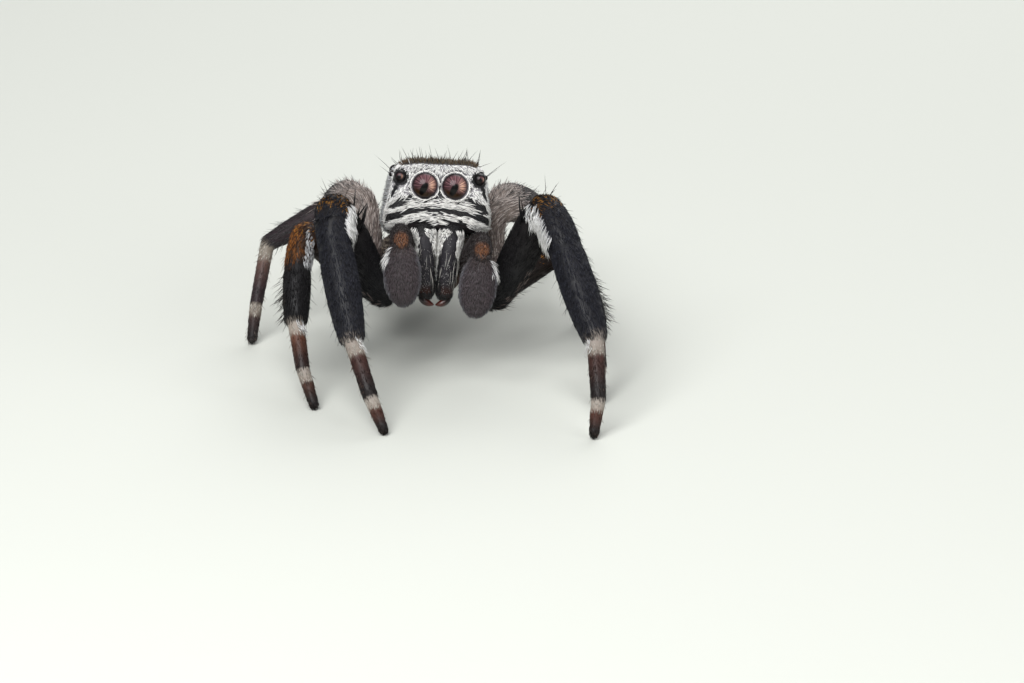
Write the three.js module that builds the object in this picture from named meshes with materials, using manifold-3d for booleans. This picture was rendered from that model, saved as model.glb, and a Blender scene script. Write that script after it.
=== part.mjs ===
// A male jumping spider at life size, standing with its front legs raised at the knee.
// Millimetres, +Z up, the animal faces -Y and its left side is +X. The feet rest on z = 0.

import * as THREE from 'three';
import { mergeVertices } from 'three/addons/utils/BufferGeometryUtils.js';
import Module from 'manifold-3d';

const wasm = await Module();
wasm.setup();

// ---------------------------------------------------------------- driving dimensions

const GAP = 0.024; // clear slit between neighbouring solids
const FACE_HEIGHT = 3.47; // middle of the two big eyes above the floor
const HEAD_PITCH = THREE.MathUtils.degToRad(18); // face tipped upwards
const HEAD_YAW = THREE.MathUtils.degToRad(4);
const HEAD_ROLL = THREE.MathUtils.degToRad(2.6);

// Head places are given in the head's own axes: x to its left, y backwards, z up,
// measured from the middle of the two big eyes.
const EYES = [
  { name: 'anterior_median', at: [0.275, 0.085, 0], radius: 0.25, slices: 12 },
  { name: 'anterior_lateral', at: [0.72, 0.1, 0.14], radius: 0.135, slices: 10 },
  { name: 'posterior_median', at: [0.85, 0.6, 0.15], radius: 0.06, slices: 6 },
  { name: 'posterior_lateral', at: [0.765, 1.17, 0.2], radius: 0.108, slices: 8 },
];

// Each body table row is [y along the piece, half width, top, bottom].
const CARAPACE = {
  front: -0.05, middle: 0.62, rear: 2.76,
  frontPower: 5.5, rearPower: 2.6, sectionPower: 5.5, topTaper: 0.1,
  rows: [
    [-0.05, 1.03, 0.46, -0.8], [0.3, 1.05, 0.48, -0.9], [0.8, 1.05, 0.47, -0.98],
    [1.3, 1.05, 0.41, -1.02], [1.8, 1.01, 0.25, -1.02], [2.3, 0.9, -0.08, -1.0], [2.76, 0.72, -0.44, -0.95],
  ],
};
const STERNUM = {
  front: 0.5, middle: 1.3, rear: 2.6,
  frontPower: 3, rearPower: 3, sectionPower: 2.6, topTaper: 0,
  rows: [
    [0.5, 0.64, -0.85, -1.46], [1.3, 0.92, -0.9, -1.52], [2.1, 0.84, -0.9, -1.5],
    [2.6, 0.52, -0.85, -1.35],
  ],
};
const ABDOMEN = {
  front: 0, middle: 1.2, rear: 2.9,
  frontPower: 2.3, rearPower: 2.2, sectionPower: 2.15, topTaper: 0,
  rows: [
    [0, 0.84, 0.5, -0.52], [0.6, 0.9, 0.7, -0.66], [1.2, 0.93, 0.78, -0.72], [1.9, 0.87, 0.69, -0.68],
    [2.9, 0.66, 0.4, -0.46],
  ],
};
const ABDOMEN_AT = [0.1, 2.84, -0.72];
const ABDOMEN_PITCH = THREE.MathUtils.degToRad(6); // tail end lifted against the head's own slope
const ABDOMEN_YAW = THREE.MathUtils.degToRad(-4); // tail end straight behind the turned head
const PEDICEL = { from: [0, 2.45, -0.75], to: [0.1, 3.15, -0.72], radius: 0.25 };
const SPINNERETS = { at: 2.8, drop: -0.08, length: 0.5, radius: 0.24, lobe: 0.16 };

// Rows of a mouthpart: top (or base) and tip of its centre line, half width and half depth at
// base, middle and tip, for the left side. The right side is its mirror image.
const CHELICERA = {
  from: [0.27, 0.24, -0.66], to: [0.165, 0.1, -2.06],
  wide: [0.262, 0.214, 0.16], deep: [0.26, 0.31, 0.2],
};
const FANG = {
  from: [0.29, 0.1, -2.03], to: [0.008, 0.03, -2.17],
  wide: [0.09, 0.09, 0.055], deep: [0.09, 0.09, 0.055],
};
const MAXILLA = {
  from: [0.42, 0.62, -1.2], to: [0.2, 0.24, -1.9],
  wide: [0.24, 0.25, 0.2], deep: [0.2, 0.21, 0.15],
};

// Palps: base, knee and end of the tibia, then the boxing-glove tip (cymbium) of each side.
const PALP_BASE = [0.46, 0.42, -1.55];
const PALPS = {
  left: {
    side: 1, knee: [0.77, -0.33, -0.94], wrist: [0.76, -0.66, -1.28], gloveTip: [0.68, -0.72, -2.33],
  },
  right: {
    side: -1, knee: [0.7, -0.33, -0.84], wrist: [0.7, -0.66, -1.1], gloveTip: [0.61, -0.72, -2.18],
  },
};
const PALP_RADII = { femur: [0.2, 0.23, 0.22], tibia: [0.23, 0.24, 0.22] };
const GLOVE = { wide: [0.28, 0.36, 0.29], deep: [0.2, 0.25, 0.19], overlap: 0.12 };

// Leg pairs, front to back: lengths of femur, patella, tibia, metatarsus and tarsus, and
// half thicknesses of each piece at its base, middle and end, coat included.
const LEG_PAIRS = {
  1: {
    sides: 10,
    lengths: [2.19, 1.06, 1.87, 1.13, 0.57], coxaBase: [0.42, 0.62, -1.2],
    radii: [[0.24, 0.27, 0.27], [0.28, 0.37, 0.33], [0.33, 0.355, 0.33], [0.33, 0.345, 0.265],
      [0.235, 0.23, 0.23], [0.225, 0.225, 0.21]],
  },
  2: {
    sides: 8,
    lengths: [1.75, 0.85, 1.12, 0.9, 0.62], coxaBase: [0.46, 1.0, -1.2],
    radii: [[0.24, 0.25, 0.25], [0.25, 0.3, 0.27], [0.27, 0.285, 0.27], [0.27, 0.28, 0.235],
      [0.225, 0.22, 0.22], [0.22, 0.22, 0.21]],
  },
  3: {
    sides: 8,
    lengths: [1.72, 0.76, 1.3, 1.12, 0.62], coxaBase: [0.46, 1.45, -1.2],
    radii: [[0.24, 0.25, 0.25], [0.25, 0.29, 0.26], [0.26, 0.27, 0.26], [0.255, 0.26, 0.225],
      [0.22, 0.215, 0.215], [0.215, 0.215, 0.205]],
  },
  4: {
    sides: 8,
    lengths: [1.6, 0.7, 1.2, 1.2, 0.7], coxaBase: [0.42, 1.9, -1.18],
    radii: [[0.24, 0.26, 0.25], [0.25, 0.3, 0.26], [0.26, 0.27, 0.26], [0.255, 0.26, 0.225],
      [0.22, 0.215, 0.215], [0.215, 0.215, 0.205]],
  },
};
const TIP_HEIGHT = 0.165; // end of a tarsus' centre line above the floor
const CORNER = 1.22; // radius of a bend of the centre line, as a share of the leg's half thickness

// The pose: hip in head axes, foot on the floor, how far the knee swings out of the upright
// plane, the turns at the three lower joints and the twist of the lower leg, in degrees.
const LEGS = [
  { pair: 1, side: 'left', hip: [1.12, 0.27, -2.11], foot: [2.79, -3.6],
    swing: -20, turns: [6, 17, 13], twist: -13 },
  { pair: 1, side: 'right', hip: [-0.94, 0.27, -2.15], foot: [-1.03, -3.4],
    swing: 29, turns: [5, 9, 6], twist: 26 },
  { pair: 2, side: 'left', hip: [1.02, 0.88, -2.04], foot: [2.87, -1.95],
    swing: -60, turns: [6, 10, 7], twist: -4 },
  { pair: 2, side: 'right', hip: [-1.04, 0.91, -2.04], foot: [-2.3, -2.2],
    swing: 45, turns: [8, 11, 10], twist: 0 },
  { pair: 3, side: 'left', hip: [1.08, 1.58, -1.9], foot: [2.7, 2.1],
    swing: 12, turns: [18, 32, 16], twist: -12 },
  { pair: 3, side: 'right', hip: [-1.04, 1.55, -1.97], foot: [-3.47, 0.95],
    swing: 34, turns: [10, 54, 4], twist: 5 },
  { pair: 4, side: 'left', hip: [0.93, 2.2, -1.85], foot: [2.0, 4.75],
    swing: 5, turns: [12, 24, 14], twist: 0 },
  { pair: 4, side: 'right', hip: [-0.92, 2.2, -1.85], foot: [-2.2, 4.75],
    swing: -8, turns: [12, 24, 14], twist: 0 },
];

// ---------------------------------------------------------------- materials

const finish = (color, roughness) => new THREE.MeshStandardMaterial({ color, roughness, metalness: 0 });
const FINISHES = {
  face: finish(0xcfc8bd, 0.8),
  underside: finish(0x4a4038, 0.7),
  abdomen: finish(0x5c4a35, 0.8),
  eye: finish(0x2a161c, 0.1),
  chelicera: finish(0x2b2629, 0.5),
  fang: finish(0x6e2a14, 0.25),
  palp: finish(0x4d4346, 0.8),
  frontLeg: finish(0x16141c, 0.4),
  rearLeg: finish(0x4b3f3b, 0.6),
};

// ---------------------------------------------------------------- frames and small helpers

const vec = (p) => new THREE.Vector3(p[0], p[1], p[2]);
const mirrored = (p, side) => [p[0] * side, p[1], p[2]];

const HEAD = new THREE.Matrix4()
  .makeTranslation(0, 0, FACE_HEIGHT)
  .multiply(new THREE.Matrix4().makeRotationX(-HEAD_PITCH))
  .multiply(new THREE.Matrix4().makeRotationZ(HEAD_YAW))
  .multiply(new THREE.Matrix4().makeRotationY(HEAD_ROLL));
const inHead = (p) => vec(p).applyMatrix4(HEAD);

// Value at t of the parabola through the three values at t = 0, 0.5 and 1.
function parabola(values, t) {
  return values[0] * (1 - t) * (1 - 2 * t) + values[1] * 4 * t * (1 - t) + values[2] * t * (2 * t - 1);
}

// Column k of a table of rows sorted by their first value, read at x along a smooth cubic.
function readTable(rows, k, x) {
  const last = rows.length - 1;
  let i = 0;
  while (i < last - 1 && x > rows[i + 1][0]) i += 1;
  const slope = (j) => {
    const a = rows[Math.max(j - 1, 0)];
    const b = rows[Math.min(j + 1, last)];
    return (b[k] - a[k]) / (b[0] - a[0]);
  };
  const width = rows[i + 1][0] - rows[i][0];
  const t = THREE.MathUtils.clamp((x - rows[i][0]) / width, 0, 1);
  const t2 = t * t;
  const t3 = t2 * t;
  return rows[i][k] * (2 * t3 - 3 * t2 + 1) + rows[i + 1][k] * (3 * t2 - 2 * t3)
    + slope(i) * width * (t3 - 2 * t2 + t) + slope(i + 1) * width * (t3 - t2);
}

// Turns a three.js geometry into a closed solid after each vertex is moved by place().
function solidFrom(geometry, place) {
  geometry.deleteAttribute('normal');
  geometry.deleteAttribute('uv');
  const merged = mergeVertices(geometry, 1e-5);
  const position = merged.getAttribute('position');
  const point = new THREE.Vector3();
  for (let i = 0; i < position.count; i += 1) {
    point.fromBufferAttribute(position, i);
    place(point);
    position.setXYZ(i, point.x, point.y, point.z);
  }
  return new wasm.Manifold(new wasm.Mesh({
    numProp: 3,
    vertProperties: new Float32Array(position.array),
    triVerts: new Uint32Array(merged.getIndex().array),
  }));
}

function signedPower(value, power) {
  return Math.sign(value) * Math.abs(value) ** power;
}

// ---------------------------------------------------------------- shapes

// A rounded body along y. A sphere's poles become its front and rear, its rings are spread
// along y by a superellipse, and each ring is a superellipse with the table's width and heights.
function body(shape, frame, grow, slices, rings) {
  const sphere = new THREE.SphereGeometry(1, slices, rings);
  return solidFrom(sphere, (p) => {
    const polar = Math.acos(THREE.MathUtils.clamp(p.y, -1, 1));
    const angle = Math.atan2(p.z, p.x);
    const forward = Math.cos(polar) < 0;
    const power = forward ? shape.frontPower : shape.rearPower;
    const reach = (forward ? shape.middle - shape.front : shape.rear - shape.middle) + grow;
    const y = shape.middle + reach * signedPower(Math.cos(polar), 2 / power);
    const size = Math.sin(polar) ** (2 / power);
    const at = THREE.MathUtils.clamp(y, shape.front, shape.rear);
    const top = readTable(shape.rows, 2, at) + grow;
    const bottom = readTable(shape.rows, 3, at) - grow;
    const centre = (top + bottom) / 2;
    const lift = signedPower(Math.sin(angle), 2 / shape.sectionPower);
    const width = (readTable(shape.rows, 1, at) + grow) * (1 - shape.topTaper * (lift + 1));
    const z = centre + size * lift * (top - bottom) / 2;
    p.set(size * width * signedPower(Math.cos(angle), 2 / shape.sectionPower), y, z).applyMatrix4(frame);
  });
}

// A pod between two points: a sphere stretched along the line, blunt at both ends, with half
// width and half depth that follow a parabola. Depth is measured towards the animal's front.
function pod(from, to, wide, deep, power, grow, slices, rings) {
  const start = vec(from);
  const along = vec(to).sub(start);
  const length = along.length();
  const axis = along.clone().normalize();
  const side = new THREE.Vector3(0, -1, 0).cross(axis).normalize();
  const front = axis.clone().cross(side);
  const sphere = new THREE.SphereGeometry(1, slices, rings);
  return solidFrom(sphere, (p) => {
    const polar = Math.acos(THREE.MathUtils.clamp(p.y, -1, 1));
    const angle = Math.atan2(p.z, p.x);
    const t = (1 - signedPower(Math.cos(polar), 2 / power)) / 2;
    const size = Math.sin(polar) ** (2 / power);
    const across = Math.cos(angle) * size * (parabola(wide, t) + grow);
    const depth = Math.sin(angle) * size * (parabola(deep, t) + grow);
    p.copy(start).addScaledVector(axis, t * (length + 2 * grow) - grow)
      .addScaledVector(side, across).addScaledVector(front, depth).applyMatrix4(HEAD);
  });
}

// ---------------------------------------------------------------- limbs

// The joints of a leg: hip, knee, and the ends of patella, tibia, metatarsus and tarsus.
// The lower leg is a flat chain with the given turns, and the knee follows from its length.
function legJoints(leg) {
  const lengths = LEG_PAIRS[leg.pair].lengths;
  const chain = [new THREE.Vector2(0, 0)];
  let heading = 0;
  lengths.slice(1).forEach((length, i) => {
    heading -= i === 0 ? 0 : THREE.MathUtils.degToRad(leg.turns[i - 1]);
    const step = new THREE.Vector2(Math.cos(heading), Math.sin(heading)).multiplyScalar(length);
    chain.push(chain[i].clone().add(step));
  });
  const chord = chain[4].length();
  const hip = inHead(leg.hip);
  const foot = new THREE.Vector3(leg.foot[0], leg.foot[1], TIP_HEIGHT);
  const reach = foot.clone().sub(hip);
  const distance = reach.length();
  reach.normalize();
  const up = new THREE.Vector3(0, 0, 1).addScaledVector(reach, -reach.z).normalize();
  const swing = THREE.MathUtils.degToRad(leg.swing);
  const pole = up.clone().multiplyScalar(Math.cos(swing))
    .addScaledVector(reach.clone().cross(up), Math.sin(swing));
  const along = (lengths[0] ** 2 - chord ** 2 + distance ** 2) / (2 * distance);
  const knee = hip.clone().addScaledVector(reach, along)
    .addScaledVector(pole, Math.sqrt(lengths[0] ** 2 - along ** 2));
  const ex = foot.clone().sub(knee).normalize();
  const flat = pole.clone().addScaledVector(ex, -pole.dot(ex)).normalize();
  const twist = THREE.MathUtils.degToRad(leg.twist);
  const ey = flat.clone().multiplyScalar(Math.cos(twist))
    .addScaledVector(ex.clone().cross(flat), Math.sin(twist));
  const tilt = Math.atan2(chain[4].y, chain[4].x);
  const lower = chain.map((q) => {
    const turned = q.clone().rotateAround(new THREE.Vector2(0, 0), -tilt);
    return knee.clone().addScaledVector(ex, turned.x).addScaledVector(ey, turned.y);
  });
  return [hip, ...lower];
}

// A limb's centre line through its joints, with an arc at each bend, as a function of place.
// A place is [segment, share], and a bend's middle is share 1 of the segment before it.
function limbLine(joints, radii) {
  const count = joints.length - 1;
  const headings = joints.slice(1).map((p, i) => p.clone().sub(joints[i]).normalize());
  const spans = joints.slice(1).map((p, i) => p.distanceTo(joints[i]));
  const bends = joints.map((p, i) => {
    if (i === 0 || i === count) return { turn: 0, radius: 0, cut: 0 };
    const turn = headings[i - 1].angleTo(headings[i]);
    const radius = CORNER * radii[i][0];
    return { turn, radius, cut: radius * Math.tan(turn / 2), thick: radii[i][0] };
  });
  // The side of the sharpest bend that faces out is the limb's upper side, and it is carried
  // along both ways with the least twist.
  let knee = Math.min(2, count - 1);
  bends.forEach((bend, i) => {
    if (i > knee && bend.turn > bends[knee].turn) knee = i;
  });
  const turned = (v, from, to) => v.clone()
    .applyQuaternion(new THREE.Quaternion().setFromUnitVectors(from, to));
  const uppers = [];
  uppers[knee] = headings[knee - 1].clone().projectOnPlane(headings[knee]).normalize();
  for (let i = knee + 1; i < count; i += 1) uppers[i] = turned(uppers[i - 1], headings[i - 1], headings[i]);
  for (let i = knee - 1; i >= 0; i -= 1) uppers[i] = turned(uppers[i + 1], headings[i + 1], headings[i]);
  return (segment, share) => {
    const first = share < 0.5;
    const corner = first ? segment : segment + 1;
    const bend = bends[corner];
    const fromCorner = (first ? share : 1 - share) * spans[segment];
    const radius = parabola(radii[segment], share);
    const heading = headings[segment].clone();
    const centre = joints[segment].clone().addScaledVector(headings[segment], share * spans[segment]);
    let outward = null;
    let extra = 0;
    if (bend.turn > 0.02 && fromCorner < bend.cut) {
      const before = headings[corner - 1];
      const after = headings[corner];
      outward = before.clone().sub(after).normalize();
      const forward = before.clone().add(after).normalize();
      const pivotDistance = bend.radius / Math.cos(bend.turn / 2);
      const pivot = joints[corner].clone().addScaledVector(outward, -pivotDistance);
      const lean = (bend.turn / 2) * (fromCorner / bend.cut) * (first ? 1 : -1);
      const ray = outward.clone().multiplyScalar(Math.cos(lean)).addScaledVector(forward, Math.sin(lean));
      heading.copy(forward).multiplyScalar(Math.cos(lean)).addScaledVector(outward, -Math.sin(lean));
      centre.copy(pivot).addScaledVector(ray, bend.radius);
      const rim = bend.radius + bend.thick;
      const off = bend.turn / 2 - Math.abs(lean);
      const straight = Math.atan(bend.cut / rim);
      const reach = off < straight ? rim / Math.cos(off)
        : pivotDistance * Math.cos(lean) + Math.sqrt(bend.thick ** 2 - (pivotDistance * Math.sin(lean)) ** 2);
      extra = reach - rim;
      outward = ray;
    }
    const upper = turned(uppers[segment], headings[segment], heading);
    return { centre, heading, upper, radius, outward, extra };
  };
}

// A closed tube along a limb through the listed places. Its ends are flat and moved along the
// line by the given trims; a rounded end closes with shrinking rings.
function limbTube(line, places, trims, roundEnd, grow, sides) {
  const rings = places.map(([segment, share]) => line(segment, share));
  const last = rings.length - 1;
  rings[0].centre.addScaledVector(rings[0].heading, trims[0]);
  rings[last].centre.addScaledVector(rings[last].heading, trims[1]);
  const shrink = rings.map(() => 1);
  if (roundEnd) {
    const end = rings[last];
    [[0.6, 0.8], [0.95, 0.35]].forEach(([forward, size]) => {
      const centre = end.centre.clone().addScaledVector(end.heading, forward * (end.radius + grow));
      rings.push({ ...end, centre });
      shrink.push(size);
    });
  }
  const height = rings.length - 1;
  const tube = new THREE.CylinderGeometry(1, 1, height, sides, height);
  return solidFrom(tube, (p) => {
    const index = Math.round(p.y + height / 2);
    const ring = rings[index];
    const across = ring.upper.clone().cross(ring.heading);
    const spoke = ring.upper.clone().multiplyScalar(p.x).addScaledVector(across, p.z);
    let size = (ring.radius + grow) * shrink[index];
    if (ring.outward) size += ring.extra * Math.max(0, spoke.dot(ring.outward)) ** 2;
    p.copy(ring.centre).addScaledVector(spoke, size);
  });
}

// ---------------------------------------------------------------- the list of pieces

const pieces = [];
function addPiece(name, finishName, group, make) {
  pieces.push({ name, finishName, group, make });
}

for (const [side, sign] of [['left', 1], ['right', -1]]) {
  for (const eye of EYES) {
    addPiece(`eye_${eye.name}_${side}`, 'eye', 'eyes', (grow) => {
      const sphere = new THREE.SphereGeometry(eye.radius + grow, eye.slices, eye.slices / 2);
      return solidFrom(sphere, (p) => p.add(vec(mirrored(eye.at, sign))).applyMatrix4(HEAD));
    });
  }
}

addPiece('carapace', 'face', 'carapace', (grow) => body(CARAPACE, HEAD, grow, 20, 12));
addPiece('sternum', 'underside', 'sternum', (grow) => body(STERNUM, HEAD, grow, 12, 8));

const abdomenFrame = HEAD.clone()
  .multiply(new THREE.Matrix4().makeTranslation(...ABDOMEN_AT))
  .multiply(new THREE.Matrix4().makeRotationZ(ABDOMEN_YAW))
  .multiply(new THREE.Matrix4().makeRotationX(ABDOMEN_PITCH));
addPiece('abdomen', 'abdomen', 'abdomen', (grow) => body(ABDOMEN, abdomenFrame, grow, 16, 12));

for (const [side, sign] of [['left', 1], ['right', -1]]) {
  const addPod = (name, finishName, shape, power, slices, rings) => {
    const from = mirrored(shape.from, sign);
    const to = mirrored(shape.to, sign);
    addPiece(`${name}_${side}`, finishName, name, (grow) => pod(
      from, to, shape.wide, shape.deep, power, grow, slices, rings,
    ));
  };
  addPod('chelicera', 'chelicera', CHELICERA, 4.4, 10, 8);
  addPod('maxilla', 'underside', MAXILLA, 3, 8, 6);
  addPod('fang', 'fang', FANG, 2.4, 6, 6);
}

for (const [name, palp] of Object.entries(PALPS)) {
  const wrist = vec(mirrored(palp.wrist, palp.side));
  const gloveTip = vec(mirrored(palp.gloveTip, palp.side));
  const gloveTop = wrist.clone().addScaledVector(gloveTip.clone().sub(wrist).normalize(), -GLOVE.overlap);
  addPiece(`palp_cymbium_${name}`, 'palp', 'palp_tip', (grow) => pod(
    gloveTop.toArray(), gloveTip.toArray(), GLOVE.wide, GLOVE.deep, 2.5, grow, 12, 8,
  ));
  const joints = [PALP_BASE, palp.knee].map((p) => inHead(mirrored(p, palp.side)));
  joints.push(wrist.clone().applyMatrix4(HEAD));
  const line = limbLine(joints, [PALP_RADII.femur, PALP_RADII.tibia]);
  addPiece(`palp_femur_${name}`, 'palp', `palp_${name}`, (grow) => limbTube(
    line, [[0, 0], [0, 0.4], [0, 0.7], [0, 0.86], [0, 1]], [-grow, -GAP / 2 + grow], false, grow, 8,
  ));
  addPiece(`palp_tibia_${name}`, 'palp', `palp_${name}`, (grow) => limbTube(
    line, [[1, 0], [1, 0.35], [1, 0.6], [1, 1]], [GAP / 2 - grow, grow], false, grow, 8,
  ));
}

for (const leg of LEGS) {
  const pair = LEG_PAIRS[leg.pair];
  const sign = leg.side === 'left' ? 1 : -1;
  const joints = [inHead(mirrored(pair.coxaBase, sign)), ...legJoints(leg)];
  const line = limbLine(joints, pair.radii);
  const tag = `leg${leg.pair}_${leg.side}`;
  const skin = leg.pair < 3 ? 'frontLeg' : 'rearLeg';
  const cut = GAP / 2;
  const addTube = (name, places, trims, roundEnd) => {
    addPiece(`${tag}_${name}`, skin, tag, (grow) => limbTube(
      line, places, [trims[0] - grow, trims[1] + grow], roundEnd, grow, pair.sides,
    ));
  };
  addTube('coxa', [[0, 0], [0, 0.35], [0, 0.6], [0, 0.8], [0, 1]], [0, -cut], false);
  addTube('femur', [[1, 0], [1, 0.12], [1, 0.3], [1, 0.52], [1, 0.76], [1, 0.88], [1, 1]],
    [cut, -cut], false);
  addTube('tibia', [[2, 0], [2, 0.2], [2, 0.42], [2, 0.7], [2, 1], [3, 0.3], [3, 0.65], [3, 0.9], [3, 1]],
    [cut, -cut], false);
  addTube('tarsus', [[4, 0], [4, 0.15], [4, 0.6], [4, 1], [5, 0.4], [5, 1]], [cut, 0], true);
}

addPiece('pedicel', 'underside', 'pedicel', (grow) => pod(
  PEDICEL.from, PEDICEL.to, Array(3).fill(PEDICEL.radius), Array(3).fill(PEDICEL.radius), 4, grow, 8, 4,
));
// The spinnerets stand as one bundle: a tapering cone whose outline has a lobe for each finger.
addPiece('spinnerets', 'underside', 'spinnerets', () => {
  const { radius, length } = SPINNERETS;
  return solidFrom(new THREE.CylinderGeometry(1, 1, length, 16, 1), (p) => {
    const angle = Math.atan2(p.z, p.x);
    const taper = 0.8 + 0.4 * (p.y / length);
    const lobes = 1 + SPINNERETS.lobe * Math.cos(4 * angle);
    const size = Math.hypot(p.x, p.z) * radius * taper * lobes;
    p.set(-size * Math.cos(angle), SPINNERETS.at - p.y, SPINNERETS.drop + size * Math.sin(angle));
    p.applyMatrix4(abdomenFrame);
  });
});

// ---------------------------------------------------------------- cutting and assembly

function boxOf(solid) {
  const bounds = solid.boundingBox();
  return new THREE.Box3(vec(bounds.min), vec(bounds.max));
}

// Everything below the floor, as one big box.
const floorBlock = solidFrom(new THREE.BoxGeometry(40, 40, 4), (p) => p.add(new THREE.Vector3(0, 0, -2)));

// Each piece gives way to the pieces listed before it: their shape, grown by the gap, is cut out.
// Pieces of one limb already end in parallel flat faces, so they are not cut by each other.
const finished = [];
for (const piece of pieces) {
  let solid = piece.make(0);
  const box = boxOf(solid);
  for (const earlier of finished) {
    const sameLimb = earlier.piece.group === piece.group && /^(leg|palp_)/.test(piece.group);
    if (!sameLimb && box.intersectsBox(earlier.box)) {
      const grown = earlier.piece.make(GAP);
      if (solid.intersect(grown).volume() > 0) solid = solid.subtract(grown);
    }
  }
  if (box.min.z < 0) solid = solid.subtract(floorBlock);
  finished.push({ piece, solid, box: boxOf(solid).expandByScalar(GAP) });
}

// The origin is the middle of the whole animal's footprint.
const whole = new THREE.Box3();
finished.forEach(({ solid }) => whole.union(boxOf(solid)));
const middle = whole.getCenter(new THREE.Vector3()).setZ(0);

const spider = new THREE.Group();
spider.name = 'jumping_spider';
for (const { piece, solid } of finished) {
  const { vertProperties, triVerts } = solid.getMesh();
  const geometry = new THREE.BufferGeometry();
  geometry.setAttribute('position', new THREE.BufferAttribute(new Float32Array(vertProperties), 3));
  geometry.setIndex(new THREE.BufferAttribute(new Uint32Array(triVerts), 1));
  geometry.translate(-middle.x, -middle.y, 0);
  const mesh = new THREE.Mesh(geometry, FINISHES[piece.finishName]);
  mesh.name = piece.name;
  spider.add(mesh);
}

export default spider;
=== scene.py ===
"""A male jumping spider at life size, dressed over its CAD frame.

Shapes are worked out in millimetres in the part's own axes (+Z up, the animal faces -Y, its
left side is +X) and become metres when a mesh is made. Each shell of the body is a grid
surface, each leg is one skin carried along its centre line, and the coat is made of
thin solid scales and hairs rooted on those surfaces.
"""
import math
import bpy
import numpy as np
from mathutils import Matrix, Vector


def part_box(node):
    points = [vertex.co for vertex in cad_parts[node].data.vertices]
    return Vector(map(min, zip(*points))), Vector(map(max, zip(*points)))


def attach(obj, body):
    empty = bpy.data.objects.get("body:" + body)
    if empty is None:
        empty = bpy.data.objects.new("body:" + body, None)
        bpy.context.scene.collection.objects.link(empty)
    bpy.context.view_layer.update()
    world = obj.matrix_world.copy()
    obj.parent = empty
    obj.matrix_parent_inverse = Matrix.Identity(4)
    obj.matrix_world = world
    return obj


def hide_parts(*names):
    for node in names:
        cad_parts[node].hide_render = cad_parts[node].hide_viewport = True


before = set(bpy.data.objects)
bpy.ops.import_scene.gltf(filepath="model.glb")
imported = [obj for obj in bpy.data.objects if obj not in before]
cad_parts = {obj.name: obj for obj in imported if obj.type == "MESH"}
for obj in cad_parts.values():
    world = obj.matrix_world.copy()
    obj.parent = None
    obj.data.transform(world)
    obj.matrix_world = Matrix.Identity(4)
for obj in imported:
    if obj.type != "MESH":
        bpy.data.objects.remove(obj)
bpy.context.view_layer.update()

# ------------------------------------------------------------------ driving dimensions (mm)

MM = 0.001
FACE_HEIGHT = 3.47  # middle of the two big eyes above the floor
HEAD_PITCH, HEAD_YAW, HEAD_ROLL = math.radians(-18), math.radians(4), math.radians(2.6)
TIP_HEIGHT = 0.165  # end of a leg's centre line above the floor
CORNER = 1.22  # radius of a bend of the centre line, as a share of the solid leg's half thickness

# Head places are in head axes: x to the animal's left, y backwards, z up, from the middle
# of the two big eyes. Eyes: place, lens radius, radius of the ring of scales round it, and how
# many degrees its gaze is turned outwards and upwards.
EYES = {
    "anterior_median": ((0.275, 0.085, 0.0), 0.25, 0.258, (0, 0)),
    "anterior_lateral": ((0.72, 0.1, 0.14), 0.12, 0.145, (12, 4)),
    "posterior_median": ((0.85, 0.6, 0.15), 0.055, 0.06, (75, 25)),
    "posterior_lateral": ((0.765, 1.17, 0.2), 0.102, 0.106, (100, 30)),
}
SIDES = (("left", 1), ("right", -1))

# Rounded bodies: ends and middle along y, then rows of [y, half width, top, bottom].
CARAPACE = dict(front=-0.05, middle=0.62, rear=2.76, front_power=5.5, rear_power=2.6,
                section_power=5.5, top_taper=0.1, rows=[
                    [-0.05, 1.03, 0.46, -0.8], [0.3, 1.05, 0.48, -0.9], [0.8, 1.05, 0.47, -0.98],
                    [1.3, 1.05, 0.41, -1.02], [1.8, 1.01, 0.25, -1.02], [2.3, 0.9, -0.08, -1.0],
                    [2.76, 0.72, -0.44, -0.95]])
STERNUM = dict(front=0.5, middle=1.3, rear=2.6, front_power=3, rear_power=3,
               section_power=2.6, top_taper=0, rows=[
                   [0.5, 0.64, -0.85, -1.46], [1.3, 0.92, -0.9, -1.52], [2.1, 0.84, -0.9, -1.5],
                   [2.6, 0.52, -0.85, -1.35]])
ABDOMEN = dict(front=0, middle=1.2, rear=2.9, front_power=2.3, rear_power=2.2,
               section_power=2.15, top_taper=0, rows=[
                   [0, 0.84, 0.5, -0.52], [0.6, 0.9, 0.7, -0.66], [1.2, 0.93, 0.78, -0.72],
                   [1.9, 0.87, 0.69, -0.68], [2.9, 0.66, 0.4, -0.46]])
ABDOMEN_AT = (0.1, 2.84, -0.72)
ABDOMEN_PITCH, ABDOMEN_YAW = math.radians(6), math.radians(-4)
PEDICEL = dict(start=(0, 2.45, -0.75), end=(0.1, 3.15, -0.72), radius=0.25)

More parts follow.
